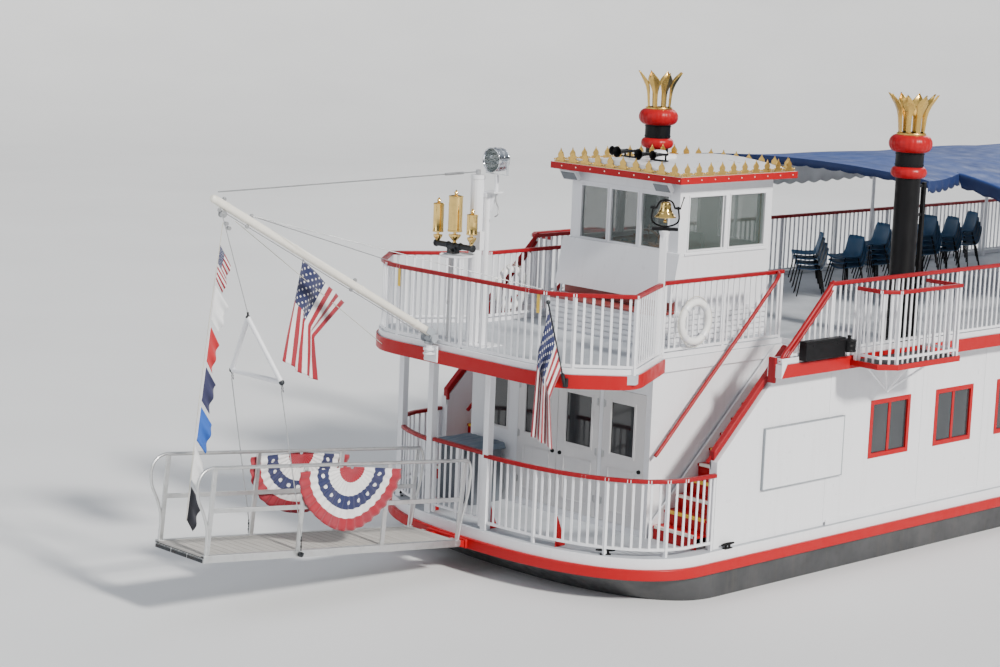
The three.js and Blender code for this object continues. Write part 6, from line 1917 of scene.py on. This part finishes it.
# %% [markdown]
# Each beam is a plate girder with a flange above and below. It carries the shaft in a split bearing with a
# bolted cap and a grease cup, and the drive case is bolted to its outer face, with two raised covers and a
# louvre.

# %% Wheel beams
SHAFT_X, SHAFT_Z = -11.1, 1.76


def arc_xz(radius, start, stop, steps=12):
    angles = [math.radians(start + (stop - start) * k / steps) for k in range(steps + 1)]
    return [(SHAFT_X + radius * math.cos(a), SHAFT_Z + radius * math.sin(a)) for a in angles]


for name, side in (("port", 1), ("starboard", -1)):
    beam, bearing, case, bolts = bmesh.new(), bmesh.new(), bmesh.new(), bmesh.new()
    side_plate(beam,
               [(-8.10, 1.254), (-8.10, 1.58), (-10.88, 1.682), (-10.90, 1.60), (-11.36, 1.60),
                (-11.36, 1.42),
                      (-9.06, 1.22), (-9.06, 1.254)], 2.07, 2.11)
    side_plate(beam, [(-8.09, 1.572), (-10.89, 1.675), (-10.89, 1.693), (-8.09, 1.59)], 2.01, 2.17)
    side_plate(beam, [(-9.07, 1.212), (-11.37, 1.412), (-11.37, 1.43), (-9.07, 1.23)], 2.01, 2.17)
    side_plate(beam, [(-10.89, 1.59), (-11.37, 1.59), (-11.37, 1.605), (-10.89, 1.605)], 2.01, 2.17)
    for x in (-8.11, -8.7, -9.35, -10.0, -10.65, -11.35):
        top = 1.59 if x < -10.9 else 1.58 - (x + 8.1) * 0.0367
        low = 1.254 if x > -9.06 else 1.22 - (x + 9.06) * 0.087
        box(beam, (x - 0.006, 2.012, low + 0.01), (x + 0.006, 2.168, top))
    side_plate(bearing, [(-11.31, 1.605), (-10.89, 1.605), (-10.89, 1.64), (-10.95, 1.66), (-10.95, 1.755),
                         *arc_xz(0.08, 0, -180), (-11.25, 1.755), (-11.25, 1.66), (-11.31, 1.64)], 2.02,
               2.16)
    side_plate(bearing, [(-11.25, 1.765), *arc_xz(0.08, 180, 0), (-10.95, 1.765), (-10.95, 1.80),
                         *arc_xz(0.135, 28, 152), (-11.25, 1.80)], 2.02, 2.16)
    for x in (-11.225, -10.975):
        for y in (2.055, 2.125):
            rod(bolts, (x, y, 1.78), (x, y, 1.83), 0.014, 6)
    for x in (-11.285, -10.915):
        rod(bolts, (x, 2.09, 1.60), (x, 2.09, 1.668), 0.016, 6)
    rod(bolts, (SHAFT_X, 2.09, 1.88), (SHAFT_X, 2.09, 1.905), 0.022, 12)
    side_plate(case,
               [(-10.4, 1.36), (-10.33, 1.29), (-8.87, 1.29), (-8.8, 1.36), (-8.8, 1.74), (-8.87, 1.81),
                      (-10.33, 1.81), (-10.4, 1.74)], 2.165, 2.408)
    for low, high in ((-10.30, -9.64), (-9.56, -8.90)):
        side_plate(case, [(low, 1.37), (high, 1.37), (high, 1.73), (low, 1.73)], 2.40, 2.416)
        for x in (low + 0.03, (low + high) / 2, high - 0.03):
            for z in (1.395, 1.705):
                rod(bolts, (x, 2.41, z), (x, 2.420, z), 0.009, 6)
    for k in range(7):
        z = 1.44 + 0.035 * k
        side_plate(case, [(-9.42, z), (-9.04, z), (-9.04, z + 0.018), (-9.42, z + 0.018)], 2.41, 2.42)
    mirror_across(side, beam, bearing, case, bolts)
    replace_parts(piece(f"wheel_beam_{name}_plates", beam, WHITE, "boat", bevel=0.003,
                      segments=1),
                f"wheel_beam_{name}")
    piece(f"wheel_bearing_{name}", bearing, GREY_STEEL, "boat", bevel=0.006, smooth=35)
    piece(f"drive_case_{name}", case, WHITE, "boat", bevel=0.006)
    piece(f"wheel_beam_{name}_bolts", bolts, GALVANISED, "boat", smooth=30)

# %% [markdown]
# The rudders are flat plates. Three straps clamp each blade to its stock, and a short tiller arm sits on
# top.

# %% Rudder straps
for name, y in (("port", 1.0), ("starboard", -1.0)):
    bm = bmesh.new()
    for z in (0.16, 0.44, 0.74):
        for side in (-1, 1):
            near, far = sorted((y + side * 0.018, y + side * 0.028))
            box(bm, (-9.50, near, z - 0.03), (-9.13, far, z + 0.03))
            for x in (-9.46, -9.36, -9.26):
                rod(bm, (x, y + side * 0.026, z), (x, y + side * 0.036, z), 0.011, 6)
    piece(f"rudder_straps_{name}", bm, IRON, f"rudder_blade_{name}", bevel=0.002)

# %% [markdown]
# The black box outside the port rail holds a hose reel: a flat trunk with a lid seam and two rivets, and a
# ribbed drum with a knob. On the foredeck stands a locker under a ribbed, blue-grey cover whose edges hang
# over its lid.

# %% Hose box and locker
bm = bmesh.new()
box(bm, (4.90, 2.99, 3.80), (5.78, 3.115, 4.07))
box(bm, (4.895, 2.985, 4.030), (5.785, 3.122, 4.040))
for x in (5.08, 5.62):
    rod(bm, (x, 3.11, 4.0), (x, 3.121, 4.0), 0.014, 12)
rim = [(0, 3.855), (0.104, 3.855), (0.105, 3.875), (0.094, 3.885), (0.094, 3.93), (0.100, 3.94),
       (0.094, 3.95),
       (0.094, 3.99), (0.105, 4.0), (0.104, 4.02), (0.060, 4.032), (0.030, 4.036), (0.022, 4.05),
       (0.030, 4.066),
       (0.028, 4.082), (0, 4.09)]
spun(bm, rim, 32, Matrix.Translation((4.80, 3.095, 0)))
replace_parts(piece("hose_box", bm, BLACK, "boat", bevel=0.004, smooth=35), "equipment_box")
LOCKER = {"x": (7.56, 8.14), "y": (-1.73, -1.00), "top": 2.05}
bm = bmesh.new()
(x0, x1), (y0, y1) = LOCKER["x"], LOCKER["y"]
box(bm, (x0, y0, DECK_Z + 0.002), (x1, y1, LOCKER["top"]))
box(bm, (x0 - 0.03, y0 - 0.03, 2.05), (x1 + 0.03, y1 + 0.03, 2.118))
for y in (-1.56, -1.17):
    box(bm, (x1 + 0.001, y - 0.02, 1.96), (x1 + 0.016, y + 0.02, 2.07))
for z in (1.40, 1.80):
    box(bm, (x1, y0 + 0.06, z), (x1 + 0.012, y1 - 0.06, z + 0.05))
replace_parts(piece("locker_body", bm, DARK_LID, "boat", bevel=0.006), "foredeck_locker")


def locker_cover(u, v):
    across, along = (u - 0.5) * 2, (v - 0.5) * 2
    x = (x0 + x1) / 2 + across * 0.334
    y = (y0 + y1) / 2 + along * 0.410
    edge = max(abs(across) * 0.334 - 0.318, abs(along) * 0.410 - 0.393, 0.0)
    crown = 0.030 * (1 - abs(along) ** 2.5) * (1 - abs(across) ** 4)
    rib = 0.007 * abs(math.sin(v * math.pi * 7)) + 0.004 * math.sin(9 * u + 11 * v)
    return Vector((x, y, 2.124 + crown + rib - edge * 4.6))


n = Nodes("locker_cover_cloth")
warp = n.noise(300.0, 2)
n.link(n.mix(n.band(n.noise(2.2, 5), 0.3, 0.75), (0.10, 0.14, 0.19), (0.17, 0.21, 0.26)), "Base Color")
n.link(n.band(n.noise(6.0, 3), 0.3, 0.7, 0.45, 0.65), "Roughness")
n.bump(warp, 0.0008, 0.5)
sheet("locker_cover", locker_cover, 40, 56, n.material, "boat")

# %% [markdown]
# Small fittings finish the decks: three horn cleats on each side, the red knee plates that
# brace the bow rail, yellow reflector strips on two posts, and a wire rail round
# the aft deck.

# %% Deck fittings
cleats = bmesh.new()
CLEATS = [(8.54, 2.08, -40), (8.54, -2.08, 40), (6.9, 2.84, 0), (6.9, -2.84, 0), (-8.4, 2.72, 0),
          (-8.4, -2.72, 0)]
for x, y, heading in CLEATS:
    stand = Matrix.Translation((x, y, DECK_Z)) @ Matrix.Rotation(math.radians(heading), 4, "Z")
    box(cleats, (-0.075, -0.03, 0.002), (0.075, 0.03, 0.014), stand)
    for foot in (-0.042, 0.042):
        rod(cleats, (foot, 0, 0.01), (foot * 0.8, 0, 0.062), 0.017, 12, stand)
    horn = [(0.004, -0.135), (0.013, -0.128), (0.019, -0.07), (0.022, 0), (0.019, 0.07), (0.013, 0.128),
            (0.004, 0.135)]
    lying = stand @ Matrix.Translation((0, 0, 0.066)) @ QUARTER_Y
    spun(cleats, [(0, -0.136), *horn, (0, 0.136)], 14, lying)
piece("deck_cleats", cleats, BLACK, "boat", smooth=45)
knees, strips, wires = bmesh.new(), bmesh.new(), bmesh.new()
for x, y in ((8.944, 0.155), (8.905, -1.09), (8.84, 1.40)):
    side_plate(knees,
               [(x - 0.02, 1.253), (x - 0.02, 1.68), (x - 0.045, 1.68), (x - 0.21, 1.29),
                (x - 0.21, 1.253)],
               y - 0.006, y + 0.006)
piece("bow_rail_knees", knees, RED, "boat", bevel=0.002)
for x, y in ((9.446, -1.27), (9.420, 1.47)):
    box(strips, (x - 0.006, y - 0.026, 4.54), (x, y + 0.026, 4.79))
piece("reflector_strips", strips, YELLOW, "boat", bevel=0.002)
for y in (2.78, -2.78):
    for x in (-7.7, -8.3, -8.9):
        rod(wires, (x, y, DECK_Z + 0.002), (x, y, DECK_Z + 1.0), 0.019, 14)
        rod(wires, (x, y, DECK_Z + 0.002), (x, y, DECK_Z + 0.012), 0.05, 16)
        ball(wires, (x, y, DECK_Z + 1.01), 0.028)
    for z in (DECK_Z + 0.52, DECK_Z + 0.96):
        rod(wires, (-7.44, y, z), (-8.9, y, z), 0.006, 8)
piece("aft_wire_rail", wires, GALVANISED, "boat", smooth=45)
